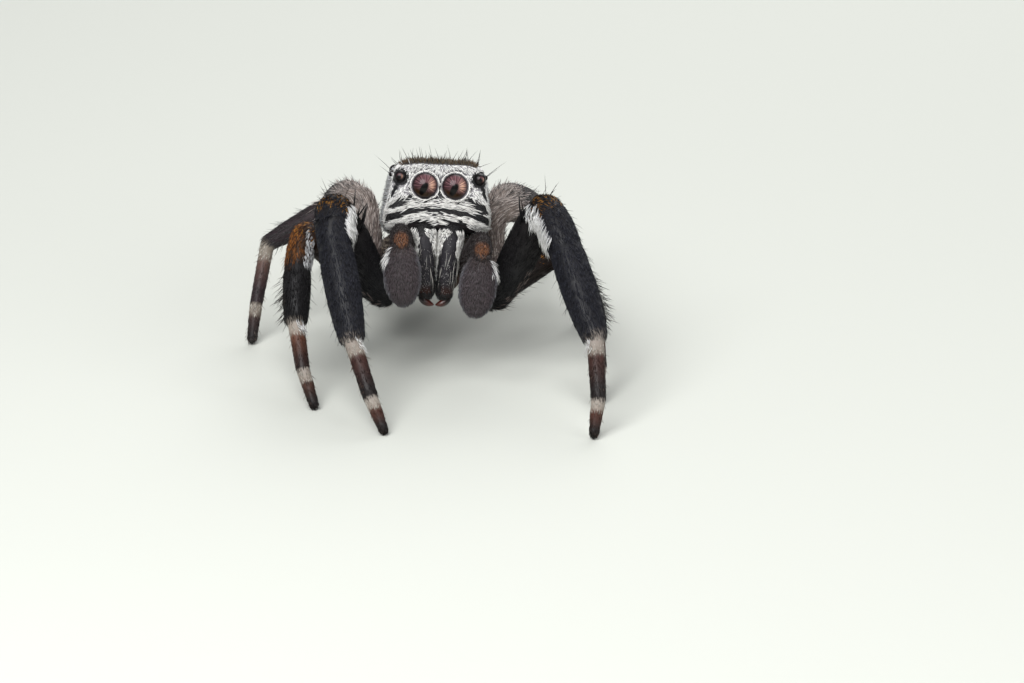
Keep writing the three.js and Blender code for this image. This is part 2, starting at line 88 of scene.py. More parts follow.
# Mouthparts of the left side: ends of the centre line, half width and half depth on the way.
CHELICERA = dict(start=(0.27, 0.24, -0.66), end=(0.165, 0.1, -2.06), wide=(0.262, 0.214, 0.16),
                 deep=(0.26, 0.31, 0.2), power=4.4)
FANG = dict(start=(0.29, 0.1, -2.03), end=(0.008, 0.03, -2.17), wide=(0.09, 0.09, 0.055),
            deep=(0.09, 0.09, 0.055), power=2.4)
FANG_SKIN_WIDE = (0.09, 0.075, 0.03)  # the fang itself, slimmer than its solid
MAXILLA = dict(start=(0.42, 0.62, -1.2), end=(0.2, 0.24, -1.9), wide=(0.24, 0.25, 0.2),
               deep=(0.2, 0.21, 0.15), power=3)
PALP_BASE = (0.46, 0.42, -1.55)
PALPS = {
    "left": dict(knee=(0.77, -0.33, -0.94), wrist=(0.76, -0.66, -1.28), tip=(0.68, -0.72, -2.33)),
    "right": dict(knee=(0.7, -0.33, -0.84), wrist=(0.7, -0.66, -1.1), tip=(0.61, -0.72, -2.18)),
}
PALP_SOLID = (0.2, 0.23)
PALP_SKIN = ((0.15, 0.18, 0.18), (0.18, 0.19, 0.16))
GLOVE = dict(wide=(0.28, 0.36, 0.29), deep=(0.2, 0.25, 0.19), overlap=0.12)

# Leg pairs: lengths of femur, patella, tibia, metatarsus and tarsus, the inner end of the
# coxa, the half thickness of each solid piece at its base, and of the skin at the base,
# middle and end of each piece.
LEG_PAIRS = {
    1: dict(lengths=(2.19, 1.06, 1.87, 1.13, 0.57), coxa=(0.42, 0.62, -1.2),
            solid=(0.24, 0.28, 0.33, 0.33, 0.235, 0.225),
            skin=((0.2, 0.24, 0.24), (0.235, 0.335, 0.295), (0.295, 0.32, 0.3),
                  (0.3, 0.315, 0.23), (0.16, 0.145, 0.14), (0.13, 0.115, 0.09))),
    2: dict(lengths=(1.75, 0.85, 1.12, 0.9, 0.62), coxa=(0.46, 1.0, -1.2),
            solid=(0.24, 0.25, 0.27, 0.27, 0.225, 0.22),
            skin=((0.19, 0.22, 0.22), (0.21, 0.265, 0.23), (0.23, 0.25, 0.235),
                  (0.235, 0.245, 0.2), (0.15, 0.135, 0.13), (0.12, 0.11, 0.088))),
    3: dict(lengths=(1.72, 0.76, 1.3, 1.12, 0.62), coxa=(0.46, 1.45, -1.2),
            solid=(0.24, 0.25, 0.26, 0.255, 0.22, 0.215),
            skin=((0.19, 0.21, 0.21), (0.2, 0.245, 0.21), (0.205, 0.22, 0.21),
                  (0.205, 0.2, 0.145), (0.13, 0.122, 0.118), (0.115, 0.108, 0.09))),
    4: dict(lengths=(1.6, 0.7, 1.2, 1.2, 0.7), coxa=(0.42, 1.9, -1.18),
            solid=(0.24, 0.25, 0.26, 0.255, 0.22, 0.215),
            skin=((0.19, 0.21, 0.21), (0.2, 0.245, 0.21), (0.205, 0.22, 0.21),
                  (0.205, 0.21, 0.165), (0.135, 0.125, 0.12), (0.115, 0.11, 0.095))),
}

# The stance of each leg: pair, side, hip in head axes, foot on the floor, swing of the knee out
# of the upright plane, turns at the three lower joints and twist of the lower leg, in degrees.
STANCE = [
    (1, "left", (1.12, 0.27, -2.11), (2.79, -3.6), -20, (6, 17, 13), -13),
    (1, "right", (-0.94, 0.27, -2.15), (-1.03, -3.4), 29, (5, 9, 6), 26),
    (2, "left", (1.02, 0.88, -2.04), (2.87, -1.95), -60, (6, 10, 7), -4),
    (2, "right", (-1.04, 0.91, -2.04), (-2.3, -2.2), 45, (8, 11, 10), 0),
    (3, "left", (1.08, 1.58, -1.9), (2.7, 2.1), 12, (18, 32, 16), -12),
    (3, "right", (-1.04, 1.55, -1.97), (-3.47, 0.95), 34, (10, 54, 4), 5),
    (4, "left", (0.93, 2.2, -1.85), (2.0, 4.75), 5, (12, 24, 14), 0),
    (4, "right", (-0.92, 2.2, -1.85), (-2.2, 4.75), -8, (12, 24, 14), 0),
]
LEGS = [dict(zip(("pair", "side", "hip", "foot", "swing", "turns", "twist"), row)) for row in STANCE]

COAT_DEPTH = 0.05  # how far a skin lies under the solid's outline
FLOOR_GAP = 0.004  # the coat's lowest points above the floor
UV_EDGE = 0.01  # bare border of every unwrap
BAND_SAG = 0.19  # fall of the face's bands, per square of the distance from the middle

# Roots of the coat per square millimetre.
FACE_DENSITY, CROWN_DENSITY, JAW_DENSITY = 3300, 1450, 3000
LEG_DENSITY = {1: 950, 2: 900, 3: 760, 4: 760}
PALP_ARM_DENSITY, PALP_GLOVE_DENSITY = 1400, 1700
ABDOMEN_DENSITY, STERNUM_DENSITY = 780, 400

# Rings of a hair, as shares of its length: two for the short coat, more where it stands off.
SHORT_RINGS = (0.0, 0.5)
LONG_RINGS = (0, 0.35, 0.7)
BRISTLE_RINGS = (0, 0.25, 0.5, 0.78)


# ------------------------------------------------------------------ small helpers

def unit(v):
    """Vectors divided by their own length."""
    return v / np.maximum(np.linalg.norm(v, axis=-1, keepdims=True), 1e-12)


def dot(a, b):
    """Scalar product along the last axis, kept as a column."""
    return np.sum(a * b, axis=-1, keepdims=True)


def ramp(start, end, x):
    """Smooth step: 3t^2 - 2t^3 of the share t of the way from start to end."""
    t = np.clip((np.asarray(x, float) - start) / (end - start), 0, 1)
    return t * t * (3 - 2 * t)


def mix(a, b, t):
    """a where t is 0, b where t is 1. t has one value for each row of colours."""
    t = np.asarray(t, float)[..., None]
    return np.asarray(a) * (1 - t) + np.asarray(b) * t


def linear(code):
    """Linear RGB of an sRGB hex colour."""
    srgb = np.array([int(code[i:i + 2], 16) for i in (1, 3, 5)]) / 255
    return np.where(srgb <= 0.04045, srgb / 12.92, ((srgb + 0.055) / 1.055) ** 2.4)


def turn(axis, angle):
    """Rotation matrix about x, y or z."""
    c, s = math.cos(angle), math.sin(angle)
    a, b = [(1, 2), (2, 0), (0, 1)]["xyz".index(axis)]
    m = np.eye(3)
    m[a, a] = m[b, b] = c
    m[a, b], m[b, a] = -s, s
    return m


HEAD = turn("x", HEAD_PITCH) @ turn("z", HEAD_YAW) @ turn("y", HEAD_ROLL)
HEAD_AT = np.array([0, 0, FACE_HEIGHT])


def in_head(p):
    """Head axes to the part's axes."""
    return np.asarray(p, float) @ HEAD.T + HEAD_AT


def to_head(p):
    """The part's axes to head axes."""
    return (np.asarray(p, float) - HEAD_AT) @ HEAD


def mirrored(p, side):
    """A left-side place on the left (side 1) or right (side -1)."""
    return np.array([p[0] * side, p[1], p[2]], float)


def node_middle(name):
    """Middle of a CAD node's box, in the part's axes."""
    low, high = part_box(name)
    return (np.array(low) + np.array(high)) / 2 / MM


# The footprint's middle is the part's origin, so everything shifts by what the two big
# eyes' solids say.
eyes_middle = (node_middle("eye_anterior_median_left") + node_middle("eye_anterior_median_right")) / 2
SHIFT = eyes_middle - in_head((0, EYES["anterior_median"][0][1], 0))
SHIFT[2] = 0


def signed_power(x, power):
    """The power of a number's size, with the number's sign."""
    return np.sign(x) * np.abs(x) ** power


def parabola(values, t):
    """The parabola through three values at t = 0, 0.5 and 1."""
    a, b, c = values
    return a * (1 - t) * (1 - 2 * t) + b * 4 * t * (1 - t) + c * t * (2 * t - 1)


def read_table(rows, k, x):
    """Column k of a table against its first column, along a smooth cubic through the rows."""
    rows = np.array(rows, float)
    at, value = rows[:, 0], rows[:, k]
    last = len(at) - 1
    before, after = np.maximum(np.arange(last + 1) - 1, 0), np.minimum(np.arange(last + 1) + 1, last)
    slope = (value[after] - value[before]) / (at[after] - at[before])
    i = np.clip(np.searchsorted(at, x, side="right") - 1, 0, last - 1)
    width = at[i + 1] - at[i]
    t = np.clip((x - at[i]) / width, 0, 1)
    return (value[i] * (2 * t**3 - 3 * t**2 + 1) + value[i + 1] * (3 * t**2 - 2 * t**3)
            + slope[i] * width * (t**3 - 2 * t**2 + t) + slope[i + 1] * width * (t**3 - t**2))


def even_steps(x, y, count):
    """Indices into a fine curve (x, y) that share its length into even steps."""
    length = np.concatenate([[0], np.cumsum(np.hypot(np.diff(x), np.diff(y)))])
    return np.interp(np.linspace(0, length[-1], count), length, np.arange(len(x)))


def waves(p, scale, seed):
    """Soft noise, mostly from -1 to 1: twice the mean of nine sine waves of random slant, whose
    crests are about a scale apart."""
    rng = np.random.default_rng(seed)
    total = 0
    for _ in range(9):
        way = unit(rng.normal(size=3)) * (2 * math.pi / scale) * rng.uniform(0.6, 1.5)
        total = total + np.sin(p @ way + rng.uniform(0, 6.3))
    return total / 4.5


# ------------------------------------------------------------------ surfaces

class Surface:
    """A closed tube of points[row, column], its unit normals and its two unit tangents."""

    def __init__(self, points, outward=1):
        self.points = points
        along = np.gradient(points, axis=0)
        around = (np.roll(points, -1, axis=1) - np.roll(points, 1, axis=1)) / 2
        self.along, self.around = unit(along), unit(around)
        self.normal = unit(np.cross(around, along)) * outward
        self.outward = outward  # 1 or -1, so that the normals point out of the tube

    def area(self):
        """Area of each cell: half the cross product of its diagonals."""
        p = self.points
        q = np.roll(p, -1, axis=1)
        return np.linalg.norm(np.cross(q[1:] - p[:-1], p[1:] - q[:-1]), axis=-1) / 2


def facing_out(points):
    """A surface whose normals point away from its middle."""
    flat = Surface(points)
    middle = points.mean(axis=1, keepdims=True)
    return Surface(points, 1 if np.sum(flat.normal * (points - middle)) > 0 else -1)


def moved_to_part(surface):
    """A surface in head axes as one in the part's axes."""
    moved = Surface.__new__(Surface)
    moved.points = in_head(surface.points)
    moved.outward = surface.outward
    for key in ("normal", "along", "around"):
        setattr(moved, key, getattr(surface, key) @ HEAD.T)
    return moved


def rounded_body(shape, inset, rows, columns):
    """Rings spread along y by a superellipse; each ring is a superellipse with the table's
    width and heights, all drawn in by the inset. Steps are even in length both ways."""
    fine_rings, fine_spokes = 6001, 4001
    polar = np.linspace(1e-4, math.pi - 1e-4, fine_rings)
    forward = np.cos(polar) < 0
    power = np.where(forward, shape["front_power"], shape["rear_power"])
    reach = np.where(forward, shape["middle"] - shape["front"], shape["rear"] - shape["middle"]) - inset
    y = shape["middle"] + reach * signed_power(np.cos(polar), 2 / power)
    size = np.sin(polar) ** (2 / power)
    pick = even_steps(y, size, rows)
    y = np.interp(pick, np.arange(fine_rings), y)
    size = np.interp(pick, np.arange(fine_rings), size)
    angle = np.linspace(0, 2 * math.pi, fine_spokes)
    side = signed_power(np.cos(angle), 2 / shape["section_power"])
    lift = signed_power(np.sin(angle), 2 / shape["section_power"])
    pick = even_steps(side, lift, columns + 1)[:-1]
    side = np.interp(pick, np.arange(fine_spokes), side)[None, :]
    lift = np.interp(pick, np.arange(fine_spokes), lift)[None, :]
    top = (read_table(shape["rows"], 2, y) - inset)[:, None]
    bottom = (read_table(shape["rows"], 3, y) + inset)[:, None]
    width = (read_table(shape["rows"], 1, y) - inset)[:, None] * (1 - shape["top_taper"] * (lift + 1))
    z = (top + bottom) / 2 + size[:, None] * lift * (top - bottom) / 2
    x = size[:, None] * width * side
    return np.stack([x, np.broadcast_to(y[:, None], x.shape), z], axis=-1)


def pod(start, end, wide, deep, power, inset, rows, columns):
    """A sphere stretched along a line, blunt at both ends, whose half width and half depth
    follow parabolas. Depth is measured towards the front. The result is in head axes."""
    start, end = np.array(start, float), np.array(end, float)
    axis = unit(end - start)
    side = unit(np.cross([0, -1, 0], axis))
    front = np.cross(axis, side)
    length = np.linalg.norm(end - start)
    fine_rings = 3001
    polar = np.linspace(1e-4, math.pi - 1e-4, fine_rings)
    t = (1 - signed_power(np.cos(polar), 2 / power)) / 2
    size = np.sin(polar) ** (2 / power)
    pick = even_steps(t * length, size * wide[1], rows)
    t = np.interp(pick, np.arange(fine_rings), t)[:, None]
    size = np.interp(pick, np.arange(fine_rings), size)[:, None]
    angle = np.linspace(0, 2 * math.pi, columns, endpoint=False)[None, :]
    across = np.cos(angle) * size * (parabola(wide, t) - inset)
    depth = np.sin(angle) * size * (parabola(deep, t) - inset)
    middle = start + axis * (t * (length - 2 * inset) + inset)
    return middle[:, None, :] + across[..., None] * side + depth[..., None] * front


# ------------------------------------------------------------------ limbs

def leg_joints(leg):
    """Hip, knee and the ends of patella, tibia, metatarsus and tarsus. The lower leg is a
    flat chain with the given turns, and the knee follows from its length."""
    lengths = LEG_PAIRS[leg["pair"]]["lengths"]
    headings = -np.cumsum(np.radians((0,) + leg["turns"]))
    steps = np.stack([np.cos(headings), np.sin(headings)], axis=1) * np.array(lengths[1:])[:, None]
    chain = np.concatenate([[[0, 0]], np.cumsum(steps, axis=0)])
    chord = np.linalg.norm(chain[-1])
    hip = in_head(leg["hip"])
    foot = np.array([*leg["foot"], TIP_HEIGHT])
    distance = np.linalg.norm(foot - hip)
    reach = (foot - hip) / distance
    up = unit(np.array([0, 0, 1]) - reach * reach[2])
    swing, twist = math.radians(leg["swing"]), math.radians(leg["twist"])
    pole = up * math.cos(swing) + np.cross(reach, up) * math.sin(swing)
    along = (lengths[0] ** 2 - chord ** 2 + distance ** 2) / (2 * distance)
    knee = hip + reach * along + pole * math.sqrt(lengths[0] ** 2 - along ** 2)
    ex = unit(foot - knee)
    flat = unit(pole - ex * (pole @ ex))
    ey = flat * math.cos(twist) + np.cross(ex, flat) * math.sin(twist)
    tilt = math.atan2(chain[-1][1], chain[-1][0])
    flat_turn = np.array([[math.cos(tilt), math.sin(tilt)], [-math.sin(tilt), math.cos(tilt)]])
    lower = chain @ flat_turn.T
    return np.vstack([hip, knee + lower[:, :1] * ex + lower[:, 1:] * ey])


def limb_line(joints, solid, place):
    """Centre, heading, outward ray and corner filling of a limb at each place, where place
    is piece number + share of its length. Each bend is an arc whose radius is CORNER times
    the solid's half thickness there."""
    count = len(joints) - 1
    step = np.diff(joints, axis=0)
    span = np.linalg.norm(step, axis=1)
    way = step / span[:, None]
    bend = np.zeros(count + 1)
    bend[1:-1] = np.arccos(np.clip(np.sum(way[:-1] * way[1:], axis=1), -1, 1))
    thick = np.append(solid, solid[-1])
    radius = CORNER * thick
    cut = radius * np.tan(bend / 2)
    piece = np.clip(np.floor(place).astype(int), 0, count - 1)
    share = place - piece
    first = share < 0.5
    corner = np.where(first, piece, piece + 1)
    from_corner = np.where(first, share, 1 - share) * span[piece]
    centre = joints[piece] + way[piece] * (share * span[piece])[:, None]
    heading = way[piece].copy()
    curved = (bend[corner] > 0.02) & (from_corner < cut[corner])
    at = corner[curved]
    outward = unit(way[at - 1] - way[at])
    forward = unit(way[at - 1] + way[at])
    pivot_gap = radius[at] / np.cos(bend[at] / 2)
    pivot = joints[at] - outward * pivot_gap[:, None]
    lean = bend[at] / 2 * from_corner[curved] / cut[at] * np.where(first[curved], 1, -1)
    ray = outward * np.cos(lean)[:, None] + forward * np.sin(lean)[:, None]
    heading[curved] = forward * np.cos(lean)[:, None] - outward * np.sin(lean)[:, None]
    centre[curved] = pivot + ray * radius[at][:, None]
    rim = radius[at] + thick[at]
    off = bend[at] / 2 - np.abs(lean)
    inner = np.maximum(thick[at] ** 2 - (pivot_gap * np.sin(lean)) ** 2, 0)
    reach = np.where(off < np.arctan(cut[at] / rim), rim / np.cos(off),
                     pivot_gap * np.cos(lean) + np.sqrt(inner))
    rays = np.zeros_like(centre)
    rays[curved] = ray
    filling = np.zeros(len(place))
    filling[curved] = reach - rim
    return centre, heading, rays, filling


def smooth_along(values, width):
    """A running mean with a bell-shaped weight, the end values held."""
    reach = int(3 * width) + 1
    bell = np.exp(-0.5 * (np.arange(-reach, reach + 1) / width) ** 2)
    padded = np.pad(values, reach, mode="edge")
    return np.convolve(padded, bell / bell.sum(), mode="valid")


class Limb:
    """The skin of a limb: a circle carried along the centre line, with the radii of each
    piece's parabola, pinched a little at the joints, and a rounded last end. place tells how
    far down the limb each row is, in pieces."""

    def __init__(self, joints, solid, skin, tip, columns, per_mm=26, corner_share=0.55):
        span = np.linalg.norm(np.diff(joints, axis=0), axis=1)
        count = len(span)
        ends = np.concatenate([[0], np.cumsum(span)])
        rows = int(ends[-1] * per_mm)
        travelled = np.linspace(0, ends[-1], rows)
        place = np.interp(travelled, ends, np.arange(count + 1))
        centre, heading, ray, filling = limb_line(joints, np.array(solid), place)
        piece = np.clip(place.astype(int), 0, count - 1)
        table = np.array(skin)[piece]
        share = place - piece
        radius = parabola((table[:, 0], table[:, 1], table[:, 2]), share)
        radius = smooth_along(radius, 0.035 * per_mm)
        joint_gap = np.abs(place - np.round(place)) * span[piece]
        inside = (np.round(place) > 0.5) & (np.round(place) < count - 0.5)
        radius = radius * (1 - 0.03 * np.exp(-(joint_gap / 0.05) ** 2) * inside)
        # The last end goes on along its heading and closes as a dome.
        domes = 8
        dome = np.linspace(0, math.pi / 2, domes + 1)[1:]
        centre = np.vstack([centre, centre[-1] + heading[-1] * (tip * np.sin(dome))[:, None]])
        heading = np.vstack([heading, np.repeat(heading[-1:], domes, axis=0)])
        ray = np.vstack([ray, np.zeros((domes, 3))])
        radius = np.concatenate([radius, radius[-1] * np.maximum(np.cos(dome), 0.02) ** 0.6])
        filling = np.concatenate([filling, np.zeros(domes)])
        place = np.concatenate([place, np.repeat(count, domes) + dome * 1e-3])
        plane = unit(np.cross(joints[2] - joints[1], joints[-1] - joints[2]))
        if count == 2:
            plane = unit(np.cross(joints[1] - joints[0], joints[2] - joints[1]))
        across = unit(plane - heading * (heading @ plane)[:, None])
        upper = np.cross(heading, across)
        if upper[np.searchsorted(place, min(2, count - 1) - 0.3)][2] < 0:
            across, upper = -across, -upper
        angle = np.linspace(0, 2 * math.pi, columns, endpoint=False)[None, :, None]
        spoke = upper[:, None, :] * np.cos(angle) + across[:, None, :] * np.sin(angle)
        towards_corner = np.maximum(0, np.sum(spoke * ray[:, None, :], axis=-1))
        bulge = corner_share * filling[:, None] * towards_corner ** 2
        points = centre[:, None, :] + spoke * (radius[:, None] + bulge)[..., None]
        self.place, self.heading = place, heading
        self.surface = facing_out(points)


# ------------------------------------------------------------------ meshes

def new_mesh(name, points, corners, starts, uv, tint):
    """An object at the origin from point and face arrays. points are in mm, corners lists the
    point of every face corner, starts the first corner of every face, uv has one pair a corner
    and tint one linear colour a point."""
    mesh = bpy.data.meshes.new(name)
    mesh.vertices.add(len(points))
    mesh.vertices.foreach_set("co", ((points + SHIFT) * MM).astype(np.float32).ravel())
    mesh.loops.add(len(corners))
    mesh.loops.foreach_set("vertex_index", corners.astype(np.int32))
    mesh.polygons.add(len(starts))
    mesh.polygons.foreach_set("loop_start", starts.astype(np.int32))
    mesh.update(calc_edges=True)
    mesh.polygons.foreach_set("use_smooth", np.ones(len(starts), bool))
    layer = mesh.uv_layers.new(name="OFBake")
    layer.uv.foreach_set("vector", uv.astype(np.float32).ravel())
    layer = mesh.attributes.new("tint", "FLOAT_COLOR", "POINT")
    rgba = np.concatenate([tint, np.ones((len(tint), 1))], axis=1)
    layer.data.foreach_set("color", rgba.astype(np.float32).ravel())
    mesh.validate()
    piece = bpy.data.objects.new(name, mesh)
    bpy.context.scene.collection.objects.link(piece)
    return piece


def pairs(u, v):
    """Two arrays as one of pairs."""
    return np.stack([u, v], -1)


def surface_mesh(name, surface, tint):
    """A grid surface as a closed mesh: quads between rows and a fan of triangles at each end.
    Its unwrap is the grid itself, angle across and length up. tint is one colour for all or
    one for each point of the grid."""
    grid = surface.points
    rows, columns = grid.shape[:2]
    tint = np.broadcast_to(tint, grid.shape)
    points = np.concatenate([grid.reshape(-1, 3), [grid[0].mean(0)], [grid[-1].mean(0)]])
    tints = np.concatenate([tint.reshape(-1, 3), [tint[0].mean(0)], [tint[-1].mean(0)]])
    i, j = np.meshgrid(np.arange(rows - 1), np.arange(columns), indexing="ij")
    k = (j + 1) % columns
    here, above = i * columns, (i + 1) * columns
    quads = np.stack([here + j, here + k, above + k, above + j], -1).reshape(-1, 4)
    u0, u1, v0, v1 = j / columns, (j + 1) / columns, i / rows, (i + 1) / rows
    quad_uv = np.stack([pairs(u0, v0), pairs(u1, v0), pairs(u1, v1), pairs(u0, v1)], -2)
    quad_uv = quad_uv.reshape(-1, 4, 2)
    j = np.arange(columns)
    k = (j + 1) % columns
    u0, middle, u1 = j / columns, (j + 0.5) / columns, (j + 1) / columns
    start, end = np.zeros(columns), np.full(columns, (rows - 1) / rows)
    pole = 0.004  # how far each end's middle lies off the grid on the unwrap
    first = np.stack([np.full(columns, rows * columns), k, j], -1)
    last = np.stack([np.full(columns, rows * columns + 1), (rows - 1) * columns + j,
                     (rows - 1) * columns + k], -1)
    low = np.stack([pairs(middle, start - pole), pairs(u1, start), pairs(u0, start)], 1)
    high = np.stack([pairs(middle, end + pole), pairs(u0, end), pairs(u1, end)], 1)
    if surface.outward < 0:
        quads, quad_uv = quads[:, [0, 3, 2, 1]], quad_uv[:, [0, 3, 2, 1]]
        first, low, last, high = [each[:, [0, 2, 1]] for each in (first, low, last, high)]
    corners = np.concatenate([quads.ravel(), first.ravel(), last.ravel()])
    starts = np.concatenate([np.arange(len(quads)) * 4, len(quads) * 4 + np.arange(2 * columns) * 3])
    uv = np.concatenate([quad_uv.reshape(-1, 2), low.reshape(-1, 2), high.reshape(-1, 2)])
    return new_mesh(name, points, corners, starts, UV_EDGE + (1 - 2 * UV_EDGE) * uv, tints)


def dressed(piece, material, slot, *nodes):
    """Gives a piece its material and has it replace the named nodes of the frame; slot is not used."""
    piece.data.materials.append(material)
    if nodes:
        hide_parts(*nodes)
    return piece


# ------------------------------------------------------------------ coat

class Roots:
    """Places on a surface, each with its normal, its two tangents and its place on the unwrap.
    Row and column may be fractions, and everything is blended between the grid's points."""

    def __init__(self, surface, row, column, rng):
        rows, columns = surface.points.shape[:2]
        i = np.clip(row.astype(int), 0, rows - 2)
        j = np.floor(column).astype(int) % columns
        a, b = (row - i)[:, None], (column - np.floor(column))[:, None]
        k = (j + 1) % columns

        def blend(grid):
            """A grid's values at the roots, blended along both directions of their cells."""
            low = grid[i, j] * (1 - b) + grid[i, k] * b
            high = grid[i + 1, j] * (1 - b) + grid[i + 1, k] * b
            return low * (1 - a) + high * a

        self.at = blend(surface.points)
        self.normal = unit(blend(surface.normal))
        self.along = unit(blend(surface.along))
        self.around = unit(blend(surface.around))
        self.row, self.rng = row, rng
        self.uv = UV_EDGE + (1 - 2 * UV_EDGE) * pairs(column % columns / columns, row / rows)

    def only(self, mask):
        """Drops the roots outside the mask."""
        for key in ("at", "normal", "along", "around", "row", "uv"):
            setattr(self, key, getattr(self, key)[mask])
        return self

    def __len__(self):
        return len(self.at)


def scatter(surface, density, seed):
    """Random roots, thicker where density (per square mm, one value a cell or one for all)
    is higher."""
    rng = np.random.default_rng(seed)
    weight = surface.area() * density
    total = weight.sum()
    cell = rng.choice(weight.size, size=int(total), p=(weight / total).ravel())
    columns = weight.shape[1]
    row = cell // columns + rng.uniform(size=len(cell))
    column = cell % columns + rng.uniform(size=len(cell))
    return Roots(surface, row, column, rng)


def per_root(value, count):
    """A value for each root, as a column, from one for all or one for each."""
    return np.broadcast_to(np.asarray(value, float), (count,))[:, None]


def hairs(roots, lie, length, width, lift, bend, flat=1.0, steps=(0.0, 0.4, 0.78), swell=1.0):
    """Tapered blades of three sides. The centre line leaves the root at the lift angle from
    the lie, and bends back to the surface with the square of the share of its length. Width
    follows (1 - share)^0.7 with a swelling in the middle; flat is thickness over width."""
    sink = 0.006  # how deep a root stands in the skin
    patch = 0.0011  # half the width of a hair's own patch on the unwrap
    count = len(roots)
    length, width, lift = [per_root(value, count) for value in (length, width, lift)]
    lie = unit(lie - roots.normal * dot(lie, roots.normal))
    across = np.cross(roots.normal, lie)
    base = roots.at - roots.normal * sink
    forward = lie * np.cos(lift) + roots.normal * np.sin(lift)
    up = unit(roots.normal - forward * dot(roots.normal, forward))
    sides = [up * flat, -across * 0.87 - up * 0.5 * flat, across * 0.87 - up * 0.5 * flat]
    rings = []
    for share in steps:
        spine = base + length * (share * forward - bend * share ** 2 * roots.normal)
        half = width / 2 * (1 - share) ** 0.7 * (1 + swell * 4 * share * (1 - share))
        rings.append(np.stack([spine + half * side for side in sides], axis=1))
    rings.append((base + length * (forward - bend * roots.normal))[:, None, :])
    points = np.concatenate(rings, axis=1)
    levels = len(steps)
    tri = [[0, 2, 1]]
    for low in range(0, 3 * levels - 3, 3):
        for c in range(3):
            d, high = (c + 1) % 3, low + 3
            tri += [[low + c, low + d, high + d], [low + c, high + d, high + c]]
    top = 3 * levels - 3
    tri += [[top + c, top + (c + 1) % 3, 3 * levels] for c in range(3)]
    offset = [[(c - 1) * patch, (level / levels - 0.5) * 2 * patch]
              for level in range(levels) for c in range(3)]
    uv = roots.uv[:, None, :] + np.array(offset + [[0, patch]])
    share = np.append(np.repeat(steps, 3), 1.0)
    return dict(points=points, tri=np.array(tri), uv=uv, share=share)


def coat_mesh(name, batches):
    """One mesh from batches of (hairs, tint at root, tint at tip). A root tint darker than the tip is
    painted shade among the hairs.
    """
    points, corners, uvs, tints = [], [], [], []
    first = 0
    for made, root_tint, tip_tint in batches:
        count, each = made["points"].shape[:2]
        root_tint = np.broadcast_to(root_tint, (count, 3))[:, None, :]
        tip_tint = np.broadcast_to(tip_tint, (count, 3))[:, None, :]
        share = made["share"][None, :, None]
        tints.append((root_tint * (1 - share) + tip_tint * share).reshape(-1, 3))
        points.append(made["points"].reshape(-1, 3))
        local = (np.arange(count)[:, None, None] * each + made["tri"]).ravel()
        corners.append(first + local)
        uvs.append(made["uv"].reshape(-1, 2)[local])
        first += count * each
    points, corners = np.concatenate(points), np.concatenate(corners)
    points[:, 2] = np.maximum(points[:, 2], FLOOR_GAP)
    starts = np.arange(0, len(corners), 3)
    return new_mesh(name, points, corners, starts, np.concatenate(uvs), np.concatenate(tints))


def shaded(hair, tint, root_share, most_root=None, most_tip=None):
    """A batch of hairs of one tint, darker at the root by root_share as painted shade among the hairs,
    held under the two limits.
    """
    return hair, np.clip(tint * root_share, 0, most_root), np.clip(tint, 0, most_tip)


def either(mask, a, b):
    """Colour a where the mask holds, and b elsewhere."""
    return np.where(mask[:, None], a, b)


def shades(count, rng, spread=0.18):
    """A brightness factor for each hair."""
    return np.exp(rng.normal(0, spread, count))[:, None]


# ------------------------------------------------------------------ materials

def node(tree, kind, links=(), **settings):
    """Adds a node. settings set its properties, or its inputs where the name is an input's
    with underscores for spaces; links are (input name or number, node, output name)."""
    made = tree.nodes.new(kind)
    for key, value in settings.items():
        if hasattr(made, key):
            setattr(made, key, value)
        else:
            made.inputs[key.replace("_", " ")].default_value = value
    for target, source, output in links:
        tree.links.new(source.outputs[output], made.inputs[target])
    return made


def new_material(name):
    """An empty node material and its tree."""
    material = bpy.data.materials.new(name)
    material.use_nodes = True
    material.node_tree.nodes.clear()
    return material, material.node_tree


def hair_material(name, roughness, specular, bump_mm, sheen=0.0):
    """Scale or hair of chitin coloured by its tint, with uneven brightness along and between
    hairs from two noises, 0.05 and 0.4 mm apart."""
    material, tree = new_material(name)
    where = node(tree, "ShaderNodeTexCoord")
    tint = node(tree, "ShaderNodeAttribute", attribute_name="tint")
    fine, broad = [node(tree, "ShaderNodeTexNoise", [("Vector", where, "Object")],
                        Scale=1 / (apart * MM), Detail=2.0) for apart in (0.05, 0.4)]
    both = node(tree, "ShaderNodeMath", [(0, fine, "Fac"), (1, broad, "Fac")], operation="ADD")
    level = node(tree, "ShaderNodeMapRange", [("Value", both, "Value")],
                 From_Min=0.6, From_Max=1.4, To_Min=0.78, To_Max=1.18)
    colour = node(tree, "ShaderNodeVectorMath", [(0, tint, "Color"), (1, level, "Result")],
                  operation="MULTIPLY")
    bump = node(tree, "ShaderNodeBump", [("Height", fine, "Fac")], Strength=0.5, Distance=bump_mm * MM)
    shader = node(tree, "ShaderNodeBsdfPrincipled",
                  [("Base Color", colour, "Vector"), ("Normal", bump, "Normal")],
                  Roughness=roughness, IOR=1.55, Specular_IOR_Level=specular, Sheen_Weight=sheen)
    node(tree, "ShaderNodeOutputMaterial", [("Surface", shader, "BSDF")])
    return material


